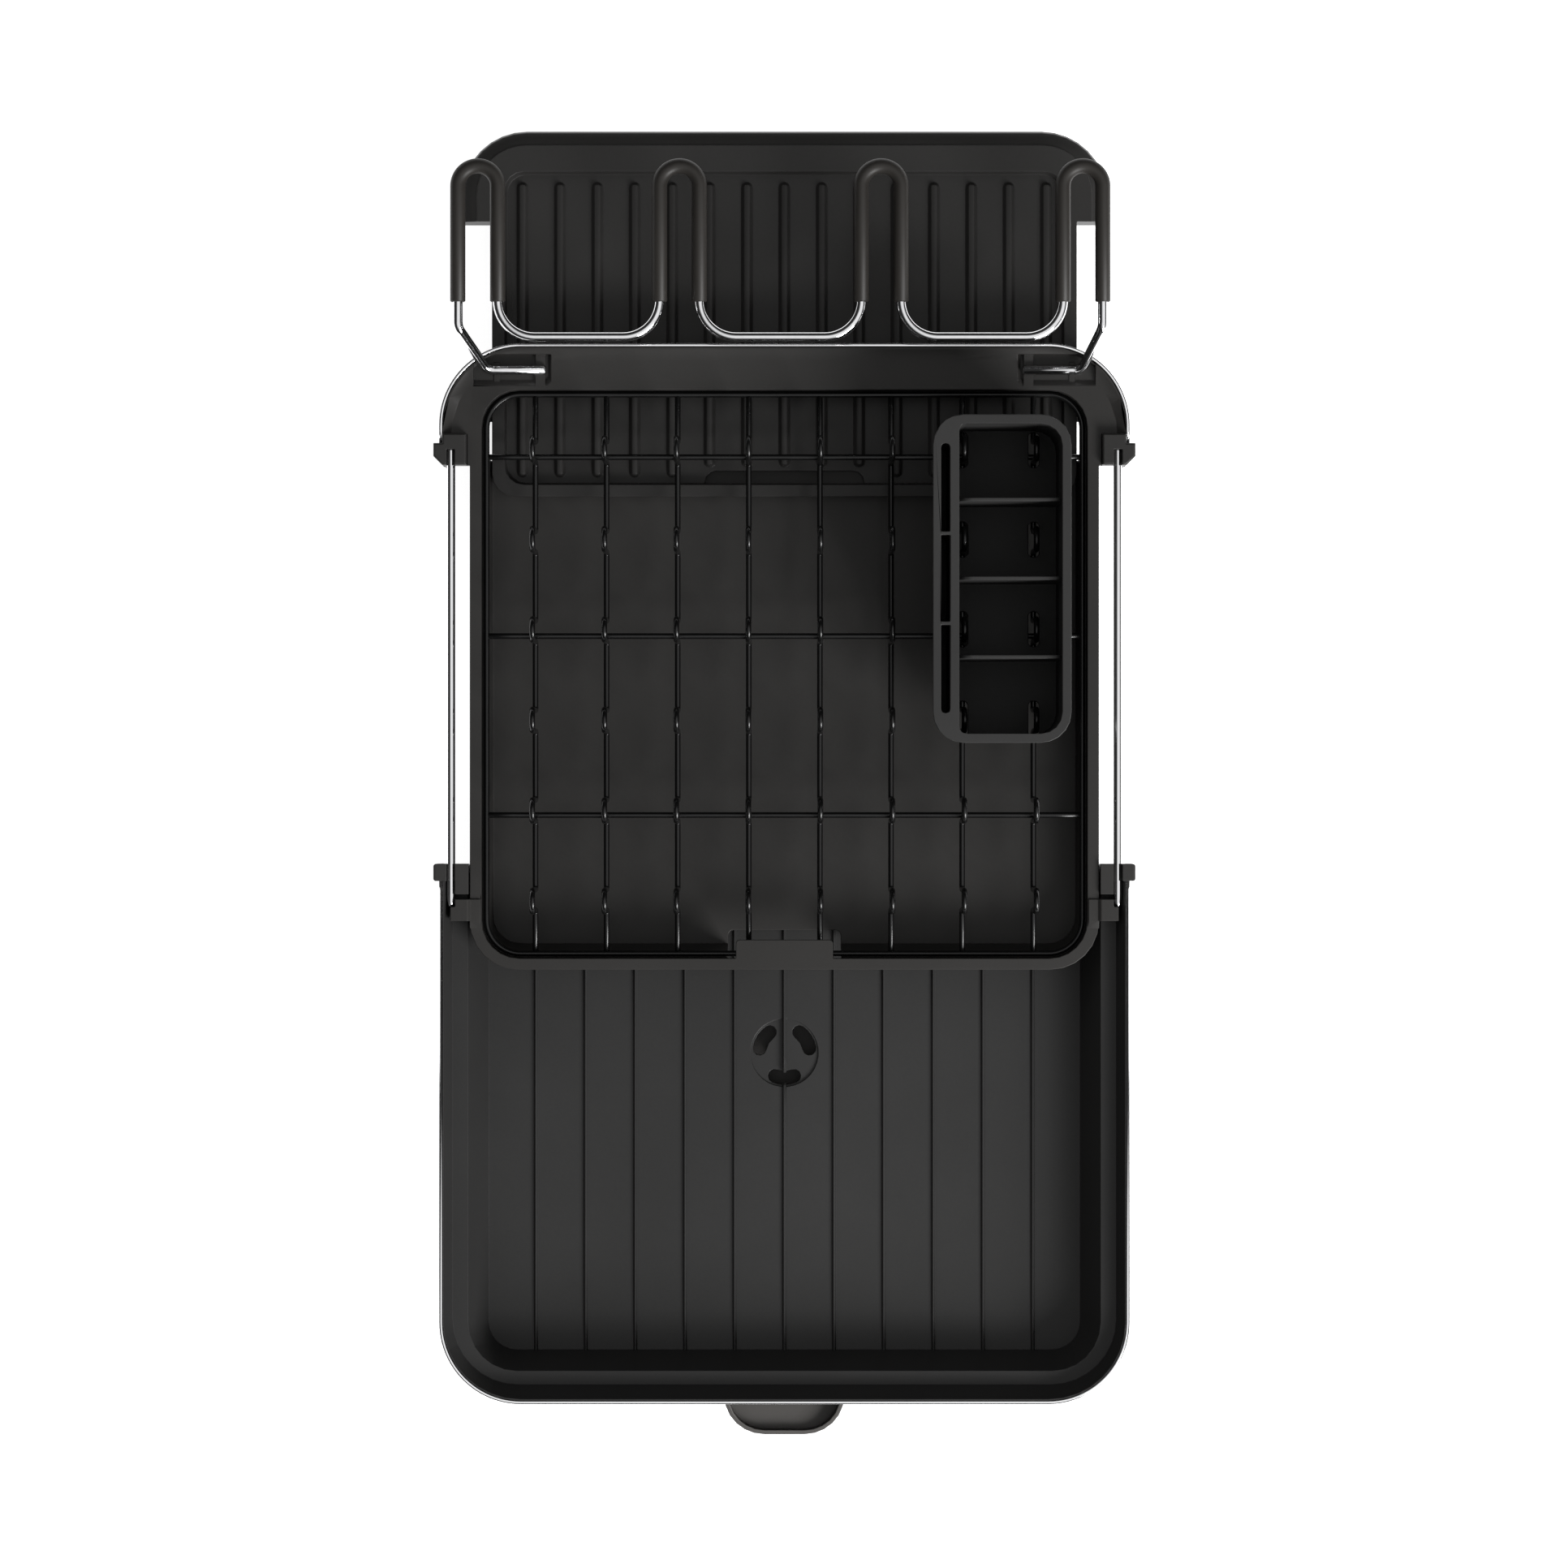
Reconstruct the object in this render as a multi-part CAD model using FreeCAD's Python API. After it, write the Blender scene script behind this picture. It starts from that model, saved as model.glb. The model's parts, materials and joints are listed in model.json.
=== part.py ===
import FreeCAD, Part
import math
import os

# An expandable dish rack, pulled out to its full length.
# Millimetres. +X is right, +Y is the back where the drip drawer comes out, +Z is up.
# The origin lies on the worktop, under the middle of the whole rack.
# Every size is given once. A fit or a margin has its own name, and the sizes it ties follow from it.

Vec = FreeCAD.Vector
UP = Vec(0, 0, 1)
parts = {}

# Steel band, one half round the back and one half round the extension
band_half_width = 178.0
band_back = 228.4
band_front = -318.6
band_corner_radius = 42.0
band_thickness = 1.6
band_top = 75.0
band_height = 22.0
band_gap = 0.1
band_bottom = band_top - band_height

# Plastic shells behind the bands
shell_half = band_half_width - band_thickness - band_gap
shell_back = band_back - band_thickness - band_gap
shell_front = band_front + band_thickness + band_gap
shell_radius = band_corner_radius - band_thickness - band_gap
band_proud = 0.5
shell_top = band_top - band_proud
shell_land = 0.6
shell_wall = 2.8

# Deck of the main tray
deck_drop = 3.5
deck_thickness = 2.4
deck_side_margin = 4.5
deck_back_margin = 7.3
deck_top = band_top - deck_drop
deck_low = deck_top - deck_thickness
deck_half = shell_half - deck_side_margin
deck_back = shell_back - deck_back_margin
deck_radius = 37.0
rear_length = 61.0
body_end = shell_back - rear_length
rim_inset = 15.6
rim_half = band_half_width - rim_inset
rim_front = -94.7
rim_radius = 25.0

# Recess of the main tray, with the seat of the wire rack
rim_width = 6.0
rim_front_width = 5.9
back_deck_width = 14.7
recess_half = rim_half - rim_width
recess_front = rim_front + rim_front_width
recess_back = deck_back - back_deck_width
recess_radius = 19.5
recess_wall = 2.4
recess_depth = 10.0
seat_level = deck_top - recess_depth
seat_width = 2.8
seat_thickness = 2.4
seat_low = seat_level - seat_thickness

# Sloped floor below the seat
floor_side_inset = 5.0
floor_front_inset = 7.8
open_length = 35.0
floor_drop = 19.8
floor_fall = 3.2
floor_half = recess_half - floor_side_inset
floor_front = recess_front + floor_front_inset
floor_end = recess_back - open_length
floor_radius = 14.0
floor_back_level = seat_level - floor_drop
floor_front_level = floor_back_level - floor_fall
floor_thickness = 2.4
tub_wall = 2.2

# Outlet at the front of the main tray and the lip over the rack's front wire
outlet_half = 29.4
outlet_length = 13.8
outlet_drop = 5.5
outlet_radius = 3.0
lip_half = 25.1
lip_reach = 9.6
lip_thickness = 2.0
lip_radius = 2.0

# Rear bridge under the drawer
bridge_bottom = 26.0
bridge_thickness = 2.5
bridge_width = 35.9
bridge_front = shell_back - bridge_width
passage_margin = 5.3
passage_half = shell_half - passage_margin
passage_reach = 4.8
passage_front = bridge_front - passage_reach
passage_top = 54.0
guide_reach = 20.7
guide_length = 13.0
guide_front = shell_back - guide_reach
guide_back = guide_front + guide_length
guide_thickness = 3.0
guide_inset = 2.0
runner_inset = 12.0

# Rods
rod_radius = 2.2
rod_sides = 12
rod_margin = 5.9
rod_drop = 0.9
rod_x = band_half_width - rod_margin
rod_level = deck_top - rod_drop
rod_tip = 7.0
rod_tip_radius = 1.0
rod_seat_gap = 0.03
rod_slide_gap = 0.08

# Ears at the front of the rods
ear_from_rim = 25.2
ear_length = 11.3
ear_front = rim_front + ear_from_rim
ear_back = ear_front + ear_length
ear_rise = 2.5
ear_depth = 5.0
ear_past_rod = 0.3
ear_slope = 2.5
ear_top = deck_top + ear_rise
ear_low = deck_top - ear_depth
ear_outer = rod_x + ear_past_rod
ear_ramp = 3.8
ear_pad = 1.0
rod_in_ear = 7.4
rod_front = ear_front + rod_in_ear

# Brackets at the back of the rods
bracket_inset = 14.1
bracket_reach = 3.0
bracket_length = 16.3
bracket_rise = 1.5
bracket_under_rod = 4.6
bracket_chamfer = 4.5
bracket_edge = 0.8
bracket_fit = 0.05
bracket_inner = band_half_width - bracket_inset
bracket_outer = band_half_width + bracket_reach
bracket_back = body_end + bracket_length
bracket_top = band_top + bracket_rise
bracket_seat = rod_level - bracket_under_rod
seat_shelf = 2.4
shelf_low = bracket_seat - seat_shelf
rod_end_cover = 8.2
rod_back = bracket_back - rod_end_cover
back_band_cover = 11.3
back_band_end = body_end + back_band_cover

# Front brackets, which slide on the rods
slide_inset = 15.0
slide_length = 15.7
slide_cover = 8.8
slide_rise = 2.7
slide_inner = band_half_width - slide_inset
slide_back = -40.0
slide_front = slide_back - slide_length
slide_top = deck_top + slide_rise
front_band_end = slide_back - slide_cover

# Screws of the brackets
screw_sides = 10
screw_radius = 1.5
screw_hole_gap = 0.1
screw_head_radius = 2.8
screw_head_height = 2.2
back_screw_inset = 3.1
back_screw_from_end = 3.0
back_screw_x = rod_x - back_screw_inset
back_screw_y = bracket_back - back_screw_from_end
back_screw_length = 10.0
front_screw_length = 8.4
front_screw_y = (front_band_end + slide_back) / 2

# Glass rail
rail_radius = 2.5
rail_sides = 8
rail_loops = 4
rail_centre = -2.1
rail_leg_gap = 20.4
rail_side_margin = 23.05
rail_past_band = 1.8
rail_loop_length = 87.5
rail_turn_radius = 18.7
rail_bend = 6.0
rail_elbow_reach = 5.0
rail_pitch = 2 * (band_half_width - rail_side_margin) / (rail_loops - 1)
rail_turn = band_back + rail_past_band
rail_apex = rail_turn + rail_loop_length
rail_elbow = rail_turn + rail_elbow_reach

# Pins of the glass rail
pin_from_deck_edge = 4.6
pin_above_deck = 1.3
pin_side_margin = 18.5
pin_length = 30.5
pin_gap = 0.1
pin_y = deck_back - pin_from_deck_edge
pin_level = deck_top + pin_above_deck
pin_outer = deck_half - pin_side_margin
pin_inner = pin_outer - pin_length
rail_rise = 22.4
rail_level = pin_level + rail_rise

# Rubber sleeves on the loops
sleeve_radius = 3.9
sleeve_gap = 0.1
sleeve_from_turn = 17.9
sleeve_end = rail_turn + sleeve_from_turn

# Pockets of the rail's pins in the deck
pocket_room = 3.3
pocket_under_pin = 3.4
pocket_behind_pin = 8.1
pocket_end_gap = 2.3
pocket_side_room = 7.2
pocket_wall = 2.4
pocket_rim = 1.2
pocket_rim_drop = 2.0
pocket_slope = 4.6
pocket_slope_depth = 1.9
pocket_corner = 2.0
pocket_front = pin_y - pocket_room
pocket_back = pin_y + pocket_behind_pin
pocket_floor = pin_level - pocket_under_pin
pocket_inner = pin_inner - pocket_end_gap
pocket_outer = pin_outer + pocket_side_room
pocket_rim_top = band_top - pocket_rim_drop
clip_from_end = 3.2
clip_width = 5.0
clip_drop = 0.8
clip_x = pin_inner + clip_from_end
clip_top = pin_level - clip_drop
rest_from_bend = 8.0
rest_width = 4.0
rest_half = 1.9
rest_x = pin_outer - rest_from_bend

# Wire rack
wire_radius = 1.5
tine_sides = 6
rim_wire_sides = 8
rack_gap = 0.3
rack_side_gap = 0.7
rack_front_gap = 0.7
rack_back_gap = 0.4
rack_corner = 17.5
weld_gap = 0.08
wire_level = seat_level + rack_gap + wire_radius
rack_half = recess_half - rack_side_gap - wire_radius
rack_front = recess_front + rack_front_gap + wire_radius
rack_back = recess_back - rack_back_gap - wire_radius
wire_end = wire_radius * math.cos(math.pi / rim_wire_sides) + weld_gap
tine_wires = 8
tines_per_wire = 6
tine_side_margin = 25.4
tine_back_margin = 30.0
tine_front_margin = 27.9
tine_wire_pitch = 2 * (rack_half - tine_side_margin) / (tine_wires - 1)
first_tine = rack_back - tine_back_margin
tine_pitch = (first_tine - rack_front - tine_front_margin) / (tines_per_wire - 1)
tine_height = 40.0
tine_spread = 10.7
cross_wire_tines = (0, 2, 4)

# Cutlery caddy, set over the last two tine wires and four of their tines
caddy_tines = 4
caddy_wire_in_left = 3.5
caddy_wire_to_right = 16.4
caddy_tine_to_back = 15.4
cavity_tine_to_front = 7.2
caddy_height = 66.9
caddy_radius = 15.5
caddy_floor = 2.4
caddy_rim = 4.6
caddy_front_rim = 4.7
caddy_left_rim = 13.3
caddy_draft = 1.2
caddy_step = 1.0
caddy_step_depth = 4.0
caddy_bottom = wire_level + wire_radius + rack_gap
caddy_top = caddy_bottom + caddy_height
last_wire_x = (tine_wires - 1) / 2 * tine_wire_pitch
cavity_left = last_wire_x - tine_wire_pitch - caddy_wire_in_left
caddy_left = cavity_left - caddy_left_rim
caddy_right = last_wire_x + caddy_wire_to_right
cavity_right = caddy_right - caddy_rim
cavity_front = first_tine - (caddy_tines - 1) * tine_pitch - cavity_tine_to_front
caddy_front = cavity_front - caddy_front_rim
caddy_back = first_tine + caddy_tine_to_back
cavity_back = caddy_back - caddy_rim
cavity_radius = 11.0
cavity_left_radius = 3.7
divider_from_back = 38.1
divider_pitch = 39.9
divider_thickness = 1.9
divider_drop = 7.0
divider_right_radius = 3.0
divider_left_radius = 7.0
knife_from_left = 4.1
knife_width = 4.5
knife_end_margin = 15.0
knife_back_margin = 14.5
knife_floor = 3.0
knife_left = caddy_left + knife_from_left
knife_front = caddy_front + knife_end_margin
knife_back = caddy_back - knife_back_margin
knife_web = 1.8
tine_slot_width = 5.4
tine_slot_back = 10.1
tine_slot_front = 8.1
tine_slot_height = 3.6
tine_slot_corner = 1.6

# Drip drawer
drawer_under_passage = 2.0
drawer_depth = 10.0
drawer_side_margin = 19.0
drawer_overlap = 54.2
drawer_past_band = 112.6
drawer_draft = 1.6
drawer_radius = 11.8
drawer_skirt = 3.0
drawer_gap = 0.3
drawer_top = passage_top - drawer_under_passage
drawer_bottom = drawer_top - drawer_depth
drawer_half = passage_half - drawer_side_margin
drawer_front = recess_back - drawer_overlap
panel_side_rim = 6.7
panel_front_rim = 6.3
panel_back_rim = 21.7
panel_depth = 6.0
panel_radius = 10.0
panel_thickness = 2.0
panel_slope = 0.8
panel_half = drawer_half - panel_side_rim
panel_front = drawer_front + panel_front_rim
panel_level = drawer_top - panel_depth
cap_side_gap = 3.0
cap_length = 47.6
cap_half = passage_half - cap_side_gap
cap_end = band_back + drawer_past_band
cap_start = cap_end - cap_length
panel_back = cap_end - panel_back_rim
cap_radius = 34.0
cap_bottom = 30.5
cap_wall = 2.5
cap_plate = 2.5
cap_roll = 8.0
cap_line = 0.6
rib_count = 15
rib_side_margin = 9.08
rib_width = 5.4
rib_crest = 3.0
rib_height = 2.4
rib_back_margin = 5.2
rib_front_margin = 4.3
rib_at_drain_margin = 2.0
rib_pitch = 2 * (panel_half - rib_side_margin) / (rib_count - 1)
rib_back = panel_back - rib_back_margin
rib_front = panel_front + rib_front_margin
drain_half = 41.5
drain_depth_y = 7.5
drain_corner = 6.0
drain_back = panel_front + drain_depth_y
rib_front_at_drain = drain_back + rib_at_drain_margin

# Extension basin
basin_end_overlap = 1.0
basin_end = slide_back - basin_end_overlap
ledge_drop = 15.0
ledge_side_margin = 4.3
ledge_front_margin = 6.9
ledge_radius = 34.0
ledge_width = 8.2
ledge_front_width = 7.2
ledge_inner_radius = 25.0
ledge_thickness = 2.4
ledge_level = band_top - ledge_drop
ledge_low = ledge_level - ledge_thickness
ledge_half = shell_half - ledge_side_margin
ledge_front = shell_front + ledge_front_margin
ledge_inner_half = ledge_half - ledge_width
ledge_inner_front = ledge_front + ledge_front_width
basin_depth = 32.0
basin_side_slope = 8.9
basin_front_slope = 7.8
basin_floor = ledge_level - basin_depth
basin_floor_half = ledge_inner_half - basin_side_slope
basin_floor_front = ledge_inner_front + basin_front_slope
basin_floor_radius = 15.0
basin_thickness = 2.5
basin_wall = 2.3
basin_floor_low = basin_floor - basin_thickness
basin_lip_height = 5.5
basin_lip_thickness = 2.5
basin_ribs = 11
basin_rib_margin = 24.9
basin_rib_width = 1.8
basin_rib_crest = 0.9
basin_rib_height = 1.8
basin_rib_end_gap = 5.0
basin_rib_pitch = 2 * (basin_floor_half - basin_rib_margin) / (basin_ribs - 1)

# Drain of the basin
drain_from_front = 155.5
drain_y = basin_floor_front + drain_from_front
drain_radius = 17.8
drain_depth = 1.2
drain_pad = 1.3
drain_pad_radius = 21.0
drain_sides = 32
slot_ring = 13.2
slot_width = 7.2
slot_sweep = 45.0
slot_angles = (32, 148, 270)
skirt_inner = 18.2
skirt_outer = 20.4
skirt_height = 4.0
skirt_bottom = basin_floor_low - skirt_height

# Swivel spout and its pivot
spout_half = 31.5
spout_past_band = 22.4
spout_tip = band_front - spout_past_band
spout_tip_radius = 21.0
spout_bottom = 7.5
spout_floor = 2.0
spout_wall = 2.4
spout_height = 15.7
spout_top = spout_bottom + spout_height
spout_mouth_height = 6.0
spout_mouth_length = 25.0
spout_mouth_start = spout_tip + spout_mouth_length
collar_radius = 7.5
collar_height = 12.5
collar_top = spout_bottom + collar_height
post_radius = 4.0
post_gap = 0.08
post_past_spout = 0.3
post_bottom = spout_bottom - post_past_spout
washer_radius = 8.0
washer_thickness = 1.0
pivot_head_radius = 5.0
pivot_head_height = 2.4
pivot_shank_radius = 1.6
pivot_shank_length = 11.0

# Legs and rubber feet
leg_sides = 16
leg_radius = 7.0
leg_flare = 1.5
leg_bottom = 2.0
foot_radius = 5.8
foot_gap = 0.05
foot_height = 4.2
back_leg_side_inset = 28.3
back_leg_inset = 21.7
back_leg_x = shell_half - back_leg_side_inset
back_leg_y = shell_back - back_leg_inset
front_leg_inset = 4.9
front_leg_from_floor = 4.0
front_leg_x = basin_floor_half - front_leg_inset
front_leg_y = basin_floor_front + front_leg_from_floor
front_leg_top = 45.0
middle_leg_inset = 14.9
middle_leg_from_end = 34.0
middle_leg_x = basin_floor_half - middle_leg_inset
middle_leg_y = basin_end - middle_leg_from_end


def keep(name, shape):
    parts[name] = shape


def mirrored(shape):
    return shape.mirror(Vec(0, 0, 0), Vec(1, 0, 0))


def keep_pair(name, shape):
    keep(name + "_right", shape)
    keep(name + "_left", mirrored(shape))


def both_sides(shape):
    return shape.fuse(mirrored(shape))


def block(x0, x1, y0, y1, z0, z1):
    return Part.makeBox(x1 - x0, y1 - y0, z1 - z0, Vec(x0, y0, z0))


def cylinder(radius, x, y, z0, z1):
    return Part.makeCylinder(radius, z1 - z0, Vec(x, y, z0), UP)


def ring_points(radius, x, y, sides):
    # Corners of a regular outline with a flat side towards the front
    points = []
    for k in range(sides):
        turn = 2 * math.pi * (k + 0.5) / sides - math.pi / 2
        points.append((x + radius * math.cos(turn), y + radius * math.sin(turn)))
    return points


def rounded(x0, x1, y0, y1, radii, chords):
    # Corners of an outline whose bends are drawn by short straight runs. The radii go round from
    # back right: back right, back left, front left, front right. A radius of 0 is a sharp corner.
    corners = ((x1, y1, -1, -1, 0), (x0, y1, 1, -1, 90), (x0, y0, 1, 1, 180), (x1, y0, -1, 1, 270))
    points = []
    for (x, y, inward_x, inward_y, start), radius in zip(corners, radii):
        if radius <= 0:
            points.append((x, y))
            continue
        for step in range(chords + 1):
            turn = math.radians(start + 90 * step / chords)
            points.append((x + radius * (inward_x + math.cos(turn)), y + radius * (inward_y + math.sin(turn))))
    return points


def even(half, y0, y1, front_radius, back_radius, chords=6):
    return rounded(-half, half, y0, y1, (back_radius, back_radius, front_radius, front_radius), chords)


def at_level(points, level):
    return [Vec(x, y, level) for x, y in points]


def flat_face(corners):
    return Part.Face(Part.makePolygon(corners + corners[:1]))


def prism(points, z0, z1):
    return flat_face(at_level(points, z0)).extrude(Vec(0, 0, z1 - z0))


def skinned(rings):
    # A solid over a row of outlines with the same number of corners, whose sides are all flat
    faces = [flat_face(rings[0]), flat_face(rings[-1])]
    for low, high in zip(rings[:-1], rings[1:]):
        for k in range(len(low)):
            n = (k + 1) % len(low)
            faces.append(flat_face([low[k], low[n], high[n], high[k]]))
    shell = Part.makeShell(faces)
    shell.sewShape()
    solid = Part.makeSolid(shell)
    if solid.Volume < 0:
        solid.reverse()
    return solid


def tapered(low, z0, high, z1):
    return skinned([at_level(low, z0), at_level(high, z1)])


def side_profile(points, x0, x1):
    # A prism along X from an outline in the Y-Z plane
    return flat_face([Vec(x0, y, z) for y, z in points]).extrude(Vec(x1 - x0, 0, 0))


def end_profile(points, y0, y1):
    # A prism along Y from an outline in the X-Z plane
    return flat_face([Vec(x, y0, z) for x, z in points]).extrude(Vec(0, y1 - y0, 0))


def rounded_corner(before, at, after, radius, steps):
    # Points of a bend at a corner of a wire's centre line
    to_before = (before - at).normalize()
    to_after = (after - at).normalize()
    half = to_before.getAngle(to_after) / 2
    middle = (to_before + to_after).normalize()
    centre = at + middle * (radius / math.sin(half))
    start = at + to_before * (radius / math.tan(half))
    across = (start - centre).normalize()
    normal = across.cross(to_before * -1).normalize()
    sideways = normal.cross(across).normalize()
    sweep = math.pi - 2 * half
    points = []
    for step in range(steps + 1):
        angle = sweep * step / steps
        points.append(centre + across * (radius * math.cos(angle)) + sideways * (radius * math.sin(angle)))
    return points


def ring(centre, along, radius, sides):
    # A regular outline square to a direction, with one flat side underneath
    side = along.cross(UP)
    if side.Length < 1e-6:
        side = Vec(1, 0, 0)
    side = side.normalize()
    over = side.cross(along).normalize()
    corners = []
    for k in range(sides):
        angle = 2 * math.pi * (k + 0.5) / sides
        corners.append(centre + side * (radius * math.sin(angle)) - over * (radius * math.cos(angle)))
    return corners


def drawn_wire(path, radius, sides, closed=False):
    # A wire with a many-sided section and mitred bends
    line = Part.makePolygon(path + path[:1] if closed else path)
    corners = ring(path[0], path[1] - path[0], radius, sides)
    section = Part.makePolygon(corners + corners[:1])
    return line.makePipeShell([section], True, False, 1)


def band_plan(half, y0, y1, level, radii):
    # Rounded outline with true arcs, in the same order of corners as above
    corners = ((half, y1, -1, -1, 0), (-half, y1, 1, -1, 90), (-half, y0, 1, 1, 180), (half, y0, -1, 1, 270))
    edges = []
    ends = []
    for (x, y, inward_x, inward_y, start), radius in zip(corners, radii):
        if radius <= 0:
            ends.append((Vec(x, y, level), Vec(x, y, level)))
            continue
        turns = [math.radians(start + turn) for turn in (0, 45, 90)]
        on_arc = [Vec(x + radius * (inward_x + math.cos(a)), y + radius * (inward_y + math.sin(a)), level)
                  for a in turns]
        edges.append(Part.Arc(*on_arc).toShape())
        ends.append((on_arc[0], on_arc[2]))
    for k in range(4):
        edges.append(Part.makeLine(ends[k - 1][1], ends[k][0]))
    return Part.Wire(Part.sortEdges(edges)[0])


def band(start, end, radii, closed_end):
    # A strip on edge round three sides, open at the end away from the closed one
    over = 1
    inner_radii = [max(r - band_thickness, 0) for r in radii]
    inner_start = start + (band_thickness if closed_end < 0 else -over)
    inner_end = end - (band_thickness if closed_end > 0 else -over)
    outer = Part.Face(band_plan(band_half_width, start, end, band_bottom, radii))
    inner = Part.Face(band_plan(band_half_width - band_thickness, inner_start, inner_end, band_bottom,
                                inner_radii))
    rise = Vec(0, 0, band_height)
    return outer.extrude(rise).cut(inner.extrude(rise))


def back_band():
    return band(back_band_end, band_back, (band_corner_radius, band_corner_radius, 0, 0), 1)


def front_band():
    return band(band_front, front_band_end, (0, 0, band_corner_radius, band_corner_radius), -1)


def leg(x, y, top):
    foot_end = ring_points(leg_radius, x, y, leg_sides)
    tray_end = ring_points(leg_radius + leg_flare, x, y, leg_sides)
    return tapered(foot_end, leg_bottom, tray_end, top)


def foot_socket(x, y):
    return prism(ring_points(foot_radius + foot_gap, x, y, leg_sides), leg_bottom - 1, foot_height)


def foot(x, y):
    return prism(ring_points(foot_radius, x, y, leg_sides), 0, foot_height)


def under_floor(drop):
    # Everything below the sloped floor's top, or below its underside for a drop of its thickness
    reach = 10
    slope = (floor_back_level - floor_front_level) / (floor_end - floor_front)
    back = floor_end + reach
    front = recess_front - reach
    back_level = floor_back_level + slope * reach - drop
    front_level = floor_front_level - slope * (floor_front - front) - drop
    outline = ((front, 0), (back, 0), (back, back_level), (front, front_level))
    return side_profile(outline, -shell_half, shell_half)


def shell_outline(inset, low, high):
    # Prism inside the rear shell's outer face, at the given distance from it
    return prism(even(shell_half - inset, body_end, shell_back - inset, 0, shell_radius - inset, 8), low, high)


def sloped_wall(inner_half, inner_end, inner_level, inner_radius, outer_end, start, towards_back):
    # The room above a level, whose side widens up to the thin top edge of a shell
    over = 2
    run = shell_half - shell_land - inner_half
    extra = run * over / (shell_top - inner_level)
    edge_half = shell_half - shell_land + extra
    edge_radius = shell_radius - shell_land + extra
    if towards_back:
        low = even(inner_half, start, inner_end, 0, inner_radius, 8)
        high = even(edge_half, start, outer_end - shell_land + extra, 0, edge_radius, 8)
    else:
        low = even(inner_half, inner_end, start, inner_radius, 0, 8)
        high = even(edge_half, outer_end + shell_land - extra, start, edge_radius, 0, 8)
    return tapered(low, inner_level, high, shell_top + over)


def rear_shell():
    # The block round the back, with its wall sloping from the band down to the deck
    over = 2
    shell = shell_outline(0, bridge_bottom, shell_top)
    shell = shell.cut(sloped_wall(deck_half, deck_back, deck_top, deck_radius, shell_back, body_end - over, True))
    inner_half = shell_half - shell_wall
    hollow_low = bridge_bottom + bridge_thickness
    hollow = prism(even(inner_half, body_end - over, shell_back - shell_wall, 0, shell_radius - shell_wall, 5),
                   hollow_low, deck_low)
    under = block(-inner_half, inner_half, body_end - over, bridge_front, bridge_bottom - over, hollow_low)
    passage = block(-passage_half, passage_half, passage_front, band_back, hollow_low, passage_top)
    for room in (hollow, under, passage):
        shell = shell.cut(room)
    return shell


def pin_block():
    # The solid round one pocket
    low = pocket_floor - pocket_wall
    solid = block(pocket_inner - pocket_wall, pocket_outer + pocket_wall, pocket_front - pocket_wall,
                  pocket_back + pocket_wall, low, deck_top)
    return solid.common(shell_outline(0, low, deck_top))


def pocket_points(inset):
    # Outline of the pocket, with its front inner corner cut off
    left = pocket_inner + inset
    front = pocket_front - (pocket_slope - inset * pocket_slope / pocket_end_gap)
    return [(left, pocket_back), (left, front + pocket_corner), (left + pocket_corner, front),
            (pocket_outer, front), (pocket_outer, pocket_back)]


def pin_seat(x, width, half, top):
    # A stand under the pin, hollowed to the pin's size
    reach = 2
    stand = block(x - width / 2, x + width / 2, pin_y - half, pin_y + half, pocket_floor - 1, top)
    corners = ring_points((rail_radius + pin_gap) / math.cos(math.pi / 16), pin_y, pin_level, 16)
    return stand.cut(side_profile(corners, x - width / 2 - reach, x + width / 2 + reach))


def pin_pocket():
    # The room for one pin and for the wire that leaves it, with a clip and a rest left standing
    over = 1
    slope_low = deck_top - pocket_slope_depth
    slope_end = pocket_end_gap * 0.6
    room = prism(pocket_points(slope_end), pocket_floor, slope_low)
    room = room.fuse(tapered(pocket_points(slope_end), slope_low, pocket_points(0), deck_top))
    room = room.fuse(prism(pocket_points(0), deck_top, band_top + 5))
    rim = shell_outline(0, pocket_floor - over, pocket_rim_top).cut(
        shell_outline(pocket_rim, pocket_floor - 2 * over, pocket_rim_top + over))
    room = room.cut(rim)
    room = room.cut(pin_seat(clip_x, clip_width, pocket_behind_pin, clip_top))
    return room.cut(pin_seat(rest_x, rest_width, rest_half, pin_level))


def bracket_pocket(gap):
    # The space of one back bracket's inner part in the tray
    return block(bracket_inner - gap, shell_half + 5, body_end - 5, bracket_back + gap,
                 bracket_seat, bracket_top + 5)


def rod_cradle(gap, y0, y1, top):
    # Room for the rod, open at the top
    radius = rod_radius + gap
    round_part = end_profile(ring_points(radius, rod_x, rod_level, rod_sides), y0, y1)
    side = radius * math.cos(math.pi / rod_sides)
    return round_part.fuse(block(rod_x - side, rod_x + side, y0, y1, rod_level, top))


def ear():
    # Raised block beside the rim that carries the front end of the rod
    slope_end = rim_half + ear_slope - 1.5
    overlap = 0.5
    outline = (
        (recess_half + overlap, deck_low),
        (recess_half + overlap, deck_top),
        (slope_end - ear_slope, deck_top),
        (slope_end, ear_top),
        (ear_outer, ear_top),
        (ear_outer, ear_low),
        (rim_half, ear_low),
        (rim_half - deck_thickness, deck_low),
    )
    solid = end_profile(outline, ear_front, ear_back)
    pad = ((ear_front - ear_ramp, deck_top), (ear_front, deck_top + ear_pad), (ear_back, deck_top + ear_pad),
           (ear_back, deck_low), (ear_front - ear_ramp, deck_low))
    solid = solid.fuse(side_profile(pad, recess_half + overlap, rim_half))
    return solid.cut(rod_cradle(rod_seat_gap, rod_front, ear_back + 1, ear_top + 1))


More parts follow.
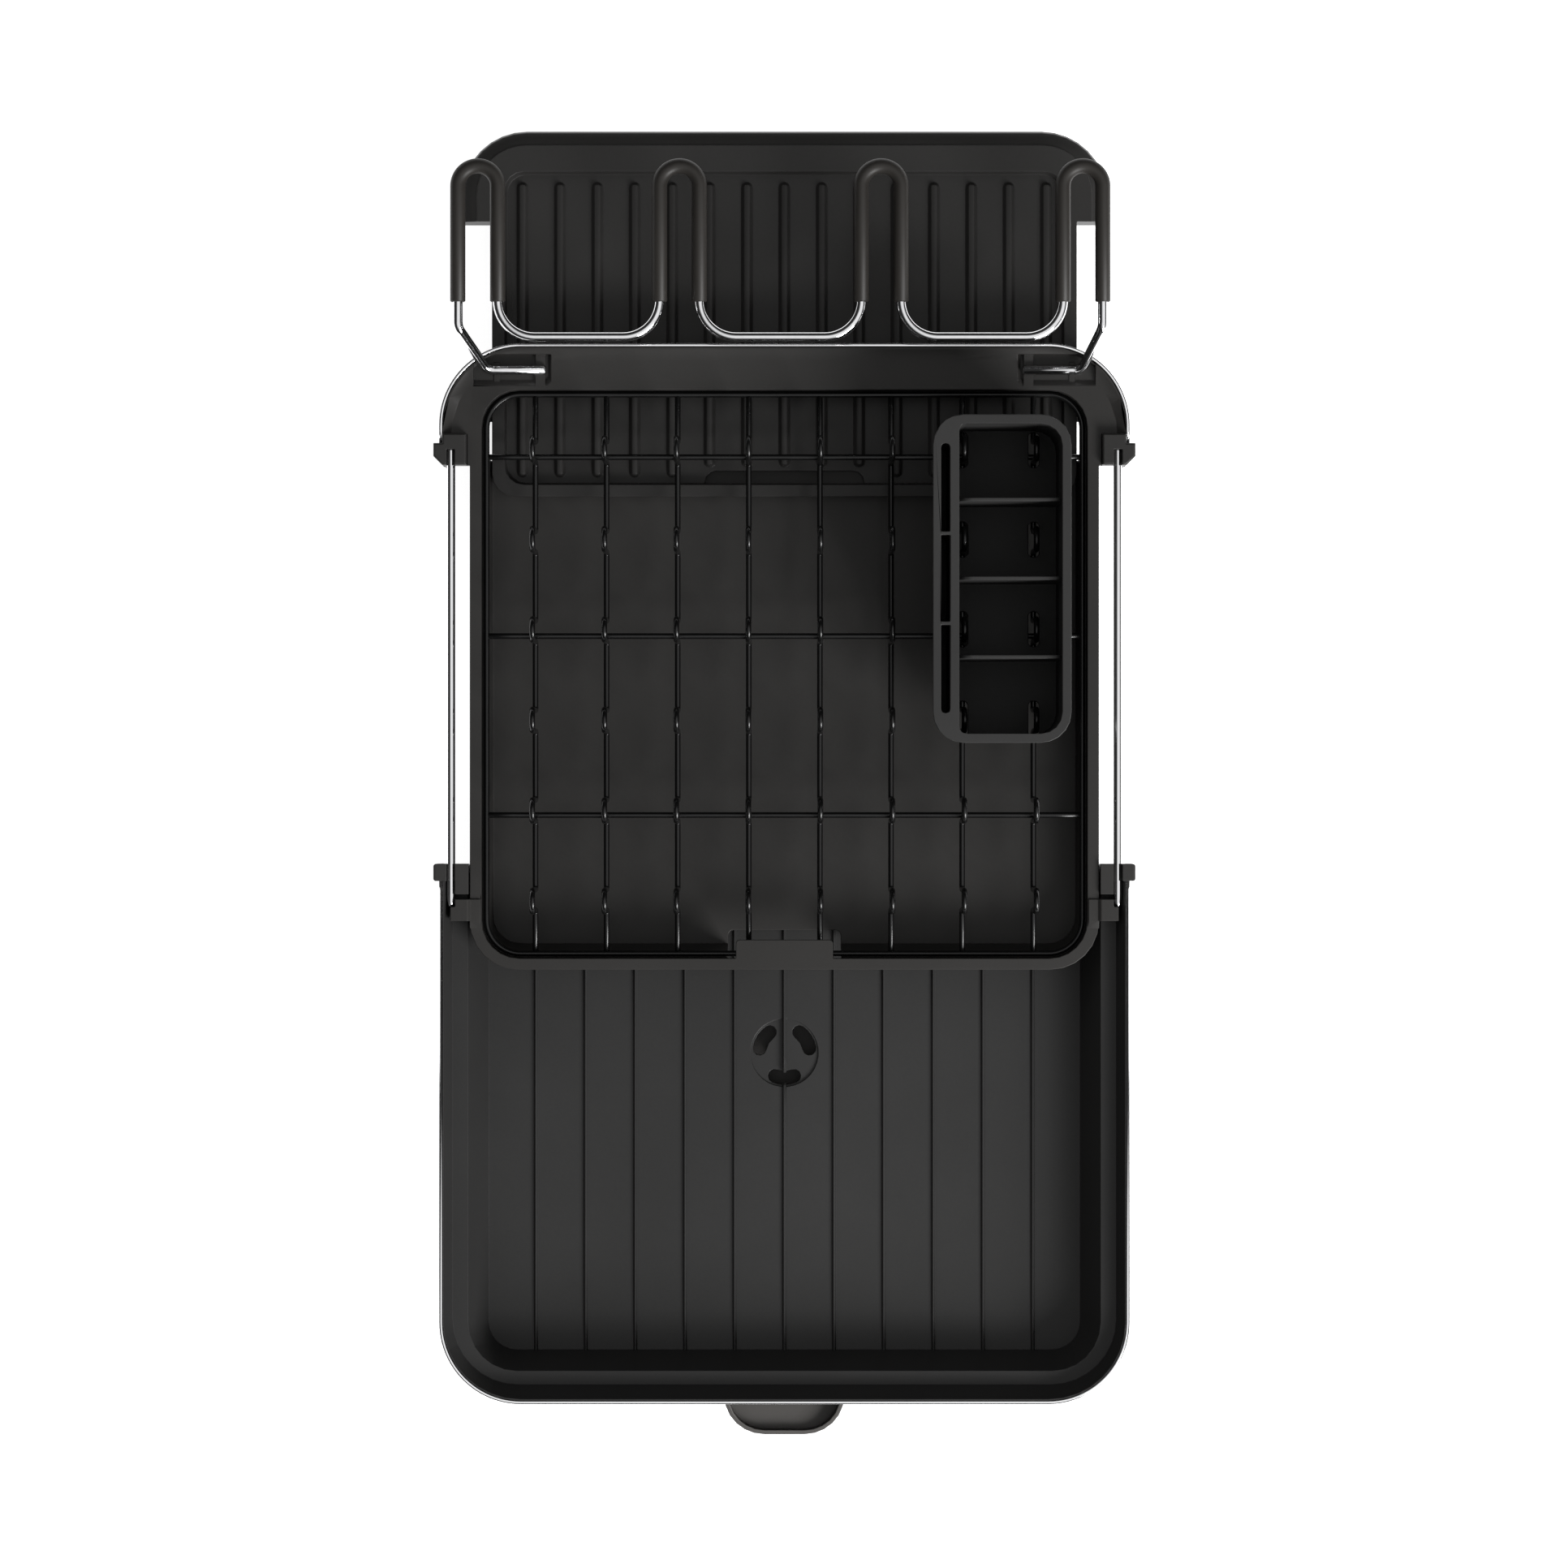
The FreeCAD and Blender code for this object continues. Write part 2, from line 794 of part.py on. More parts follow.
def main_tray():
    tray = rear_shell()
    tray = tray.fuse(prism(even(rim_half, rim_front, body_end + 1, rim_radius, 0), deck_low, deck_top))

    # Tub round the recess, down to the seat of the wire rack
    outer = recess_half + recess_wall
    outer_radius = recess_radius + recess_wall
    tub = even(outer, recess_front - recess_wall, recess_back + recess_wall, outer_radius, outer_radius)
    tray = tray.fuse(prism(tub, seat_low, deck_top))
    tray = tray.fuse(both_sides(pin_block()))
    shelf = block(bracket_inner - seat_shelf, shell_half, body_end, bracket_back + seat_shelf,
                  shelf_low, deck_top)
    tray = tray.fuse(both_sides(shelf))
    tray = tray.fuse(both_sides(ear()))

    # Lower tub, whose floor slopes to the outlet
    seat_half = recess_half - seat_width
    seat_front = recess_front + seat_width
    seat_radius = recess_radius - seat_width
    under = floor_front_level - 6
    far = floor_end + 20
    overlap = 0.5
    outside = tapered(
        even(floor_half + tub_wall, floor_front - tub_wall, far, floor_radius + tub_wall, 0), under,
        even(seat_half + tub_wall, seat_front - tub_wall, far, seat_radius + tub_wall, 0), seat_low + overlap)
    inside = tapered(
        even(floor_half, floor_front, far, floor_radius, 0), under,
        even(seat_half, seat_front, far, seat_radius, 0), seat_low)
    outside = outside.cut(under_floor(floor_thickness))
    outside = outside.cut(block(-shell_half, shell_half, floor_end, far + 1, 0, seat_level))
    tray = tray.fuse(outside)

    # The recess is open from the deck down to the seat, and inside the seat all the way
    recess = even(recess_half, recess_front, recess_back, recess_radius, recess_radius)
    well = even(seat_half, seat_front, recess_back - seat_width, seat_radius, seat_radius)
    tray = tray.cut(prism(recess, seat_level, deck_top + 1))
    tray = tray.cut(prism(well, seat_low, seat_level + 1))
    tray = tray.cut(inside.cut(under_floor(0)))

    outlet = rounded(-outlet_half, outlet_half, recess_front - 2 * recess_wall, recess_front + outlet_length,
                     (outlet_radius, outlet_radius, 0, 0), 3)
    tray = tray.cut(prism(outlet, under, deck_top - outlet_drop))
    lip = rounded(-lip_half, lip_half, recess_front - 1, recess_front + lip_reach,
                  (lip_radius, lip_radius, 0, 0), 3)
    tray = tray.fuse(prism(lip, deck_top - lip_thickness, deck_top))
    tray = tray.cut(both_sides(pin_pocket())).cut(both_sides(bracket_pocket(bracket_fit)))

    # Guides above and below the drawer's sides
    above = block(drawer_half - guide_thickness - guide_inset, drawer_half - guide_inset, guide_front, guide_back,
                  drawer_top + drawer_gap, deck_low + 1)
    runner_x = drawer_half - runner_inset
    below = block(runner_x - guide_thickness / 2, runner_x + guide_thickness / 2, bridge_front,
                  guide_back, bridge_bottom + 1, drawer_bottom - drawer_gap)
    tray = tray.fuse(both_sides(above)).fuse(both_sides(below))

    stand = leg(back_leg_x, back_leg_y, bridge_bottom + 1)
    tray = tray.fuse(both_sides(stand)).cut(both_sides(foot_socket(back_leg_x, back_leg_y)))
    hole = screw_hole(screw_hole_gap, back_screw_x, back_screw_y, shelf_low - 1, bracket_seat + 1)
    return tray.cut(both_sides(hole)).removeSplitter()


def screw_hole(gap, x, y, z0, z1):
    return prism(ring_points(screw_radius + gap, x, y, screw_sides), z0, z1)


def rod():
    # A round bar with a blunt taper at its front end
    steps = ((0, rod_tip_radius), (0.25, 0.82 * rod_radius), (1, rod_radius))
    rings = []
    for share, radius in steps:
        corners = ring_points(radius, rod_x, rod_level, rod_sides)
        rings.append([Vec(x, rod_front + share * rod_tip, z) for x, z in corners])
    corners = ring_points(rod_radius, rod_x, rod_level, rod_sides)
    rings.append([Vec(x, rod_back, z) for x, z in corners])
    return skinned(rings)


def back_bracket():
    inner = block(bracket_inner, shell_half + band_gap, body_end, bracket_back, bracket_seat, bracket_top)
    start = shell_half + band_gap
    outer_plan = [
        (start, body_end),
        (bracket_outer - bracket_chamfer, body_end),
        (bracket_outer, body_end + bracket_chamfer),
        (bracket_outer, back_band_end),
        (start, back_band_end),
    ]
    bracket = inner.fuse(prism(outer_plan, band_bottom, bracket_top)).removeSplitter()
    top = [e for e in bracket.Edges if e.BoundBox.ZMin > bracket_top - 1e-6]
    bracket = bracket.makeChamfer(bracket_edge, top)
    bracket = bracket.cut(rod_cradle(rod_seat_gap, body_end - 1, rod_back, bracket_top + 1))
    return bracket.cut(screw_hole(0, back_screw_x, back_screw_y, bracket_seat - 1,
                                  shelf_low + back_screw_length))


def front_bracket():
    start = shell_half + band_gap
    inner = block(slide_inner, rod_x, slide_front, slide_back, ledge_level, slide_top)
    base = block(slide_inner, start, front_band_end, slide_back, ledge_level, bracket_top)
    outer = block(start, bracket_outer, front_band_end, slide_back, band_bottom, bracket_top)
    step = block(slide_inner - 1, rod_x, slide_front - 1, slide_back + 1, slide_top, bracket_top + 1)
    bracket = inner.fuse(base).fuse(outer).cut(step)
    # The block beside the rod ends at the rod, and leaves the ledge's wall free
    bracket = bracket.cut(block(rod_x - rod_radius - rod_slide_gap, shell_half + 1, slide_front - 1,
                                front_band_end, ledge_level - 1, bracket_top + 1))
    bracket = bracket.cut(rod_cradle(rod_slide_gap, slide_front - 1, slide_back + 1, bracket_top + 1))
    bracket = bracket.removeSplitter()
    corners = []
    for edge in bracket.Edges:
        box = edge.BoundBox
        if box.XMin > bracket_outer - 1e-6 and edge.Length > 5:
            corners.append(edge)
    bracket = bracket.makeChamfer(bracket_edge, corners)
    return bracket.cut(screw_hole(0, rod_x, front_screw_y, ledge_level - 1, ledge_low + front_screw_length))


def screw(x, y, head_top, length):
    head = prism(ring_points(screw_head_radius, x, y, screw_sides), head_top - screw_head_height, head_top)
    shank = screw_hole(0, x, y, head_top - screw_head_height / 2, head_top + length)
    return head.fuse(shank).removeSplitter()


def back_bracket_screws():
    one = screw(back_screw_x, back_screw_y, shelf_low, back_screw_length)
    return Part.makeCompound([one, mirrored(one)])


def front_bracket_screws():
    one = screw(rod_x, front_screw_y, ledge_low, front_screw_length)
    return Part.makeCompound([one, mirrored(one)])


def rack_rim_wire():
    steps = 4
    corners = [Vec(rack_half, rack_back, wire_level), Vec(-rack_half, rack_back, wire_level),
               Vec(-rack_half, rack_front, wire_level), Vec(rack_half, rack_front, wire_level)]
    path = [Vec(rack_half, (rack_front + rack_back) / 2, wire_level)]
    for i, corner in enumerate(corners):
        path += rounded_corner(corners[i - 1], corner, corners[(i + 1) % 4], rack_corner, steps)
    return drawn_wire(path, wire_radius, rim_wire_sides, closed=True)


def tine_place(number):
    return first_tine - number * tine_pitch


def tine_wire_x(number):
    return (number - (tine_wires - 1) / 2) * tine_wire_pitch


def tine_wire(number):
    # One wire from the front to the back of the rim, bent up into arches
    x = tine_wire_x(number)
    leg_out = tine_spread / 2
    arch_low = wire_level + tine_height - leg_out
    arch_steps = 3
    path = [Vec(x, rack_back - wire_end, wire_level)]
    for k in range(tines_per_wire):
        y = tine_place(k)
        path.append(Vec(x, y + leg_out, wire_level))
        for step in range(arch_steps + 1):
            angle = math.pi * step / arch_steps
            path.append(Vec(x, y + leg_out * math.cos(angle), arch_low + leg_out * math.sin(angle)))
        path.append(Vec(x, y - leg_out, wire_level))
    path.append(Vec(x, rack_front + wire_end, wire_level))
    return drawn_wire(path, wire_radius, tine_sides)


def cross_wire(tine_number):
    # A straight wire that lies against the front legs of a row of tines
    apart = wire_radius * (1 + math.cos(math.pi / tine_sides)) + weld_gap
    y = tine_place(tine_number) - tine_spread / 2 + apart
    ends = [Vec(-rack_half + wire_end, y, wire_level), Vec(rack_half - wire_end, y, wire_level)]
    return drawn_wire(ends, wire_radius, tine_sides)


def caddy_points(inset):
    radius = caddy_radius - inset
    return rounded(caddy_left + inset, caddy_right - inset, caddy_front + inset, caddy_back - inset,
                   (radius, radius, radius, radius), 5)


def corner_points(cx, cz, radius, start, end):
    # Points of a rounded corner in the X-Z plane
    steps = 3
    angles = [math.radians(start + (end - start) * k / steps) for k in range(steps + 1)]
    return [(cx + radius * math.cos(a), cz + radius * math.sin(a)) for a in angles]


def divider_place(number):
    return caddy_back - caddy_rim - divider_from_back - number * divider_pitch


def caddy_cavity(floor_level):
    # Four compartments, with the dividers left standing below the rim
    radii = (cavity_radius, cavity_left_radius, cavity_left_radius, cavity_radius)
    plan = rounded(cavity_left, cavity_right, cavity_front, cavity_back, radii, 4)
    cavity = prism(plan, floor_level, caddy_top + 1)
    top = caddy_top - divider_drop
    left_round = corner_points(cavity_left + divider_left_radius, top - divider_left_radius,
                               divider_left_radius, 180, 90)
    right_round = corner_points(cavity_right - divider_right_radius, top - divider_right_radius,
                                divider_right_radius, 90, 0)
    outline = [(cavity_left - 1, floor_level - 1), (cavity_left - 1, left_round[0][1])]
    outline += left_round + right_round
    outline += [(cavity_right + 1, right_round[-1][1]), (cavity_right + 1, floor_level - 1)]
    for number in range(caddy_tines - 1):
        place = divider_place(number)
        cavity = cavity.cut(end_profile(outline, place - divider_thickness / 2, place + divider_thickness / 2))
    return cavity


def tine_slot(x, y, level):
    half_width = tine_slot_width / 2
    corner = tine_slot_corner
    outline = rounded(x - half_width, x + half_width, y - tine_slot_front, y + tine_slot_back,
                      (corner, corner, corner, corner), 1)
    return prism(outline, level - 1, level + tine_slot_height)


def knife_slot(low, high):
    # One slot along the caddy's side, bridged by two thin webs in line with the dividers
    end = knife_width / 2 - 0.1
    outline = rounded(knife_left, knife_left + knife_width, knife_front, knife_back, (end, end, end, end), 3)
    slot = prism(outline, low, high)
    third = (knife_back - knife_front) / 3
    for place in (knife_front + third, knife_back - third):
        slot = slot.cut(block(knife_left - 1, knife_left + knife_width + 1, place - knife_web / 2,
                              place + knife_web / 2, low, high))
    return slot


def cutlery_caddy():
    neck = caddy_top - caddy_step_depth
    caddy = tapered(caddy_points(caddy_draft + caddy_step), caddy_bottom, caddy_points(caddy_step), neck)
    caddy = caddy.fuse(prism(caddy_points(0), neck, caddy_top))
    caddy = caddy.cut(caddy_cavity(caddy_bottom + caddy_floor))
    caddy = caddy.cut(knife_slot(caddy_bottom + knife_floor, caddy_top + 1))
    for wire in range(tine_wires):
        x = tine_wire_x(wire)
        if not cavity_left < x < caddy_right:
            continue
        for k in range(caddy_tines):
            caddy = caddy.cut(tine_slot(x, tine_place(k), caddy_bottom))
    return caddy.removeSplitter()


def rib_points(half, y0, y1):
    # Outline of a slender rib with its four corners cut off
    cut = half / 2
    return [(half - cut, y0), (half, y0 + cut), (half, y1 - cut), (half - cut, y1),
            (cut - half, y1), (-half, y1 - cut), (-half, y0 + cut), (cut - half, y0)]


def drawer_rib(x, near):
    inset = (rib_width - rib_crest) / 2
    low = rib_points(rib_width / 2, near, rib_back)
    high = rib_points(rib_crest / 2, near + inset, rib_back - inset)
    return tapered(low, panel_level, high, panel_level + rib_height).translated(Vec(x, 0, 0))


def cap_points(inset, start, chords=8):
    return even(cap_half - inset, start, cap_end - inset, 0, cap_radius - inset, chords)


def drawer_cap():
    # Hollow end of the drawer. Its top edge rolls over to a thin line round the flat top.
    roll = ((0, 1), (0.14, 0.5), (0.5, 0.18), (1, 0))
    rings = [at_level(cap_points(0, cap_start), cap_bottom)]
    for across, down in roll:
        level = drawer_top - cap_line - down * (cap_roll - cap_line)
        rings.append(at_level(cap_points(across * cap_roll, cap_start), level))
    rings.append(at_level(cap_points(cap_roll + cap_line / 2, cap_start), drawer_top))
    cap = skinned(rings)
    start = cap_start + cap_wall
    roll_low = drawer_top - cap_roll - cap_line
    cap = cap.cut(prism(cap_points(cap_wall, start, 5), cap_bottom - 1, roll_low))
    cap = cap.cut(prism(cap_points(cap_roll - cap_wall / 2, start, 5), cap_bottom, drawer_top - cap_plate))
    opening = drawer_half - drawer_draft - drawer_skirt
    return cap.cut(block(-opening, opening, cap_start - 1, start + cap_wall, cap_bottom - 1,
                         drawer_top - cap_plate))


def drying_drawer():
    low_half = drawer_half - drawer_draft
    inner_end = cap_end - cap_wall
    body = tapered(
        even(low_half, drawer_front + drawer_draft, inner_end, drawer_radius, 0, 4), drawer_bottom,
        even(drawer_half, drawer_front, inner_end, drawer_radius, 0, 4), drawer_top)
    beyond = block(-cap_half, cap_half, cap_start, cap_end + 1, 0, drawer_top + 1)
    body = body.cut(beyond.cut(prism(cap_points(cap_roll, cap_start - 1), 0, drawer_top + 1)))
    drawer = body.fuse(drawer_cap())

    well = tapered(
        even(panel_half - panel_slope, panel_front + panel_slope, panel_back - panel_slope, panel_radius,
             panel_radius, 4), panel_level,
        even(panel_half, panel_front, panel_back, panel_radius, panel_radius, 4), drawer_top)
    drawer = drawer.cut(well)
    under_top = panel_level - panel_thickness
    under_front = drawer_front + drawer_draft + drawer_skirt
    under = even(low_half - drawer_skirt, under_front, cap_end - cap_roll, drawer_radius - drawer_skirt,
                 cap_radius - 2 * cap_roll, 4)
    drawer = drawer.cut(prism(under, drawer_bottom - 1, under_top))
    for number in range(rib_count):
        x = (number - (rib_count - 1) / 2) * rib_pitch
        near = rib_front_at_drain if abs(x) < drain_half + rib_width else rib_front
        drawer = drawer.fuse(drawer_rib(x, near))
    drain = rounded(-drain_half, drain_half, panel_front + panel_slope, drain_back,
                    (drain_corner, drain_corner, 0, 0), 3)
    return drawer.cut(prism(drain, under_top - 1, panel_level + 1)).removeSplitter()


def rail_loop_centre(number):
    return rail_centre + (number - (rail_loops - 1) / 2) * rail_pitch


def half_turn(centre, y, radius, steps):
    # A bend through a half circle, from the left leg over the far end to the right leg
    points = []
    for step in range(steps + 1):
        angle = math.pi * step / steps
        points.append(Vec(centre - radius * math.cos(angle), y + radius * math.sin(angle), rail_level))
    return points


def rail_path():
    # From the left pin, up over the band, round the four loops and down to the right pin
    leg_out = rail_leg_gap / 2
    first = rail_loop_centre(0) - leg_out
    last = rail_loop_centre(rail_loops - 1) + leg_out
    path = [Vec(-pin_inner, pin_y, pin_level)]
    pin = Vec(-pin_outer, pin_y, pin_level)
    elbow = Vec(first, rail_elbow, rail_level)
    path += rounded_corner(path[0], pin, elbow, rail_bend, 1)
    path += rounded_corner(pin, elbow, Vec(first, rail_apex, rail_level), rail_bend, 1)
    for k in range(rail_loops):
        centre = rail_loop_centre(k)
        path += half_turn(centre, rail_apex - leg_out, leg_out, 6)
        if k < rail_loops - 1:
            following = rail_loop_centre(k + 1)
            corners = [Vec(centre + leg_out, rail_apex, rail_level), Vec(centre + leg_out, rail_turn, rail_level),
                       Vec(following - leg_out, rail_turn, rail_level),
                       Vec(following - leg_out, rail_apex, rail_level)]
            path += rounded_corner(corners[0], corners[1], corners[2], rail_turn_radius, 3)
            path += rounded_corner(corners[1], corners[2], corners[3], rail_turn_radius, 3)
    pin = Vec(pin_outer, pin_y, pin_level)
    elbow = Vec(last, rail_elbow, rail_level)
    path += rounded_corner(Vec(last, rail_apex, rail_level), elbow, pin, rail_bend, 1)
    path += rounded_corner(elbow, pin, Vec(pin_inner, pin_y, pin_level), rail_bend, 1)
    path.append(Vec(pin_inner, pin_y, pin_level))
    return path


def glass_rail_wire():
    return drawn_wire(rail_path(), rail_radius, rail_sides)


def rail_sleeve(number):
    # A tube over one loop, bored by the rail itself
    centre = rail_loop_centre(number)
    leg_out = rail_leg_gap / 2
    left = Vec(centre - leg_out, sleeve_end, rail_level)
    right = Vec(centre + leg_out, sleeve_end, rail_level)
    path = [left] + half_turn(centre, rail_apex - leg_out, leg_out, 6) + [right]
    bore = drawn_wire(rail_path(), rail_radius + sleeve_gap, rail_sides)
    return drawn_wire(path, sleeve_radius, rail_sides).cut(bore)


def arc_points(x, y, radius, start, end, steps):
    turns = [math.radians(start + (end - start) * k / steps) for k in range(steps + 1)]
    return [(x + radius * math.cos(turn), y + radius * math.sin(turn)) for turn in turns]


def kidney_slot(angle):
    # A slot bent round the drain's middle, through the basin's floor
    first = angle - slot_sweep / 2
    last = angle + slot_sweep / 2
    end = slot_width / 2
    outline = arc_points(0, drain_y, slot_ring + end, first, last, 4)
    for place, start in ((last, last), (first, first + 180)):
        turn = math.radians(place)
        x = slot_ring * math.cos(turn)
        y = drain_y + slot_ring * math.sin(turn)
        outline += arc_points(x, y, end, start, start + 180, 5)[1:-1]
        if place == last:
            outline += arc_points(0, drain_y, slot_ring - end, last, first, 2)
    return prism(outline, basin_floor_low - drain_pad - 2, basin_floor + basin_rib_height + 1)


def basin_rib(x):
    foot_low = basin_floor - 0.5
    wide = basin_rib_width / 2
    crest = basin_rib_crest / 2
    outline = (
        (x - wide, foot_low),
        (x + wide, foot_low),
        (x + wide, basin_floor),
        (x + crest, basin_floor + basin_rib_height),
        (x - crest, basin_floor + basin_rib_height),
        (x - wide, basin_floor),
    )
    return end_profile(outline, basin_floor_front - 0.3, basin_end - basin_rib_end_gap)


def extension_basin():
    far = basin_end + 30
    overlap = 0.5
    basin = prism(even(shell_half, shell_front, far, shell_radius, 0, 8), ledge_low, shell_top)
    basin = basin.fuse(tapered(
        even(basin_floor_half + basin_wall, basin_floor_front - basin_wall, far, basin_floor_radius + basin_wall,
             0), basin_floor_low,
        even(ledge_inner_half + basin_wall, ledge_inner_front - basin_wall, far, ledge_inner_radius + basin_wall,
             0), ledge_low + overlap))
    basin = basin.fuse(both_sides(leg(front_leg_x, front_leg_y, front_leg_top)))
    basin = basin.fuse(both_sides(leg(middle_leg_x, middle_leg_y, basin_floor - 1)))

    # Thicker floor, skirt and post under the drain
    pad = prism(ring_points(drain_pad_radius, 0, drain_y, drain_sides), basin_floor_low - drain_pad,
                basin_floor_low + overlap)
    skirt = prism(ring_points(skirt_outer, 0, drain_y, drain_sides), skirt_bottom, basin_floor_low)
    skirt = skirt.cut(prism(ring_points(skirt_inner, 0, drain_y, drain_sides), skirt_bottom - 1,
                            basin_floor_low - drain_pad))
    basin = basin.fuse(pad).fuse(skirt).fuse(cylinder(post_radius, 0, drain_y, post_bottom, basin_floor_low))

    upper = sloped_wall(ledge_half, ledge_front, ledge_level, ledge_radius, shell_front, far + 1, False)
    lower = tapered(
        even(basin_floor_half, basin_floor_front, far + 1, basin_floor_radius, 0), basin_floor,
        even(ledge_inner_half, ledge_inner_front, far + 1, ledge_inner_radius, 0), ledge_level)
    basin = basin.cut(upper).cut(lower)
    basin = basin.cut(block(-shell_half - 1, shell_half + 1, basin_end, far + 2, 0, band_top))
    seat = block(slide_inner - overlap, shell_half + 1, front_band_end, basin_end + 1, ledge_level, band_top + 1)
    basin = basin.cut(both_sides(seat))

    # Low lip across the open end
    lip_back = basin_end - basin_lip_thickness
    lip = tapered(even(basin_floor_half + overlap, lip_back, basin_end, 0, 0), basin_floor - 1,
                  even(basin_floor_half + 4 * overlap, lip_back, basin_end, 0, 0),
                  basin_floor + basin_lip_height)
    basin = basin.fuse(lip)
    for number in range(basin_ribs):
        basin = basin.fuse(basin_rib((number - (basin_ribs - 1) / 2) * basin_rib_pitch))
    recess = prism(ring_points(drain_radius, 0, drain_y, drain_sides), basin_floor - drain_depth, basin_floor)
    recess = recess.cut(block(-basin_rib_width / 2, basin_rib_width / 2, drain_y - 2 * drain_radius,
                              drain_y + 2 * drain_radius, 0, basin_floor + 1))
    basin = basin.cut(recess)
    for angle in slot_angles:
        basin = basin.cut(kidney_slot(angle))
    basin = basin.cut(both_sides(foot_socket(front_leg_x, front_leg_y)))
    basin = basin.cut(both_sides(foot_socket(middle_leg_x, middle_leg_y)))
    basin = basin.cut(both_sides(screw_hole(screw_hole_gap, rod_x, front_screw_y, ledge_low - 1,
                                            ledge_level + 1)))
    pilot = prism(ring_points(pivot_shank_radius, 0, drain_y, screw_sides), post_bottom - 1,
                  post_bottom + pivot_shank_length)
    return basin.cut(pilot).removeSplitter()


def spout_points(inset):
    # Round about the pivot, straight along the sides, with rounded corners at the tip
    half = spout_half - inset
    tip = spout_tip + inset
    radius = spout_tip_radius - inset
    points = arc_points(0, drain_y, half, 0, 180, 12)
    points += arc_points(radius - half, tip + radius, radius, 180, 270, 6)
    points += arc_points(half - radius, tip + radius, radius, 270, 360, 6)
    return points


def swivel_spout():
    spout = prism(spout_points(0), spout_bottom, spout_top)
    spout = spout.cut(prism(spout_points(spout_wall), spout_bottom + spout_floor, spout_top + 1))
    mouth_level = spout_bottom + spout_mouth_height
    mouth = side_profile(((spout_mouth_start, spout_top), (spout_tip - 1, mouth_level),
                          (spout_tip - 1, spout_top + 1), (spout_mouth_start, spout_top + 1)),
                         -spout_half - 1, spout_half + 1)
    spout = spout.cut(mouth)
    spout = spout.fuse(prism(ring_points(collar_radius, 0, drain_y, 24), spout_bottom, collar_top))
    bore = cylinder(post_radius + post_gap, 0, drain_y, spout_bottom - 1, collar_top + 1)
    return spout.cut(bore).removeSplitter()


def pivot_washer():
    low = post_bottom - washer_thickness
    disc = prism(ring_points(washer_radius, 0, drain_y, 20), low, post_bottom)
    hole = ring_points(pivot_shank_radius + screw_hole_gap, 0, drain_y, screw_sides)
    return disc.cut(prism(hole, low - 1, post_bottom + 1))


def pivot_screw():
    head_top = post_bottom - washer_thickness
    head_low = head_top - pivot_head_height
    sides = 16
    edge = pivot_head_height / 3
    bevel = tapered(ring_points(pivot_head_radius - edge, 0, drain_y, sides), head_low,
                    ring_points(pivot_head_radius, 0, drain_y, sides), head_low + edge)
    head = bevel.fuse(prism(ring_points(pivot_head_radius, 0, drain_y, sides), head_low + edge, head_top))
    shank = prism(ring_points(pivot_shank_radius, 0, drain_y, screw_sides), head_top - 1,
                  post_bottom + pivot_shank_length)
    return head.fuse(shank).removeSplitter()


def build():
    keep("main_tray", main_tray())
    keep("back_band", back_band())
    keep_pair("back_bracket", back_bracket())
    keep_pair("front_bracket", front_bracket())
    keep_pair("side_rod", rod())
    keep_pair("rear_foot", foot(back_leg_x, back_leg_y))
    keep_pair("middle_foot", foot(middle_leg_x, middle_leg_y))
    keep_pair("front_foot", foot(front_leg_x, front_leg_y))
    keep("back_bracket_screws", back_bracket_screws())
    keep("front_bracket_screws", front_bracket_screws())

    keep("rack_rim_wire", rack_rim_wire())
    for number, tine_number in enumerate(cross_wire_tines):
        keep("rack_cross_wire_%d" % (number + 1), cross_wire(tine_number))
    for number in range(tine_wires):
        keep("rack_tine_wire_%d" % (number + 1), tine_wire(number))
    keep("cutlery_caddy", cutlery_caddy())

    keep("drying_drawer", drying_drawer())
    keep("glass_rail_wire", glass_rail_wire())
    for number in range(rail_loops):
        keep("rail_sleeve_%d" % (number + 1), rail_sleeve(number))

    keep("extension_basin", extension_basin())
    keep("front_band", front_band())
    keep("swivel_spout", swivel_spout())
    keep("pivot_washer", pivot_washer())
    keep("pivot_screw", pivot_screw())


def main():
    os.makedirs("parts", exist_ok=True)
    build()
    for name, shape in parts.items():
        shape.exportStep(os.path.join("parts", name + ".step"))
        print(name, len(shape.Solids), "solid", round(shape.Volume), "mm3", shape.isValid())


main()
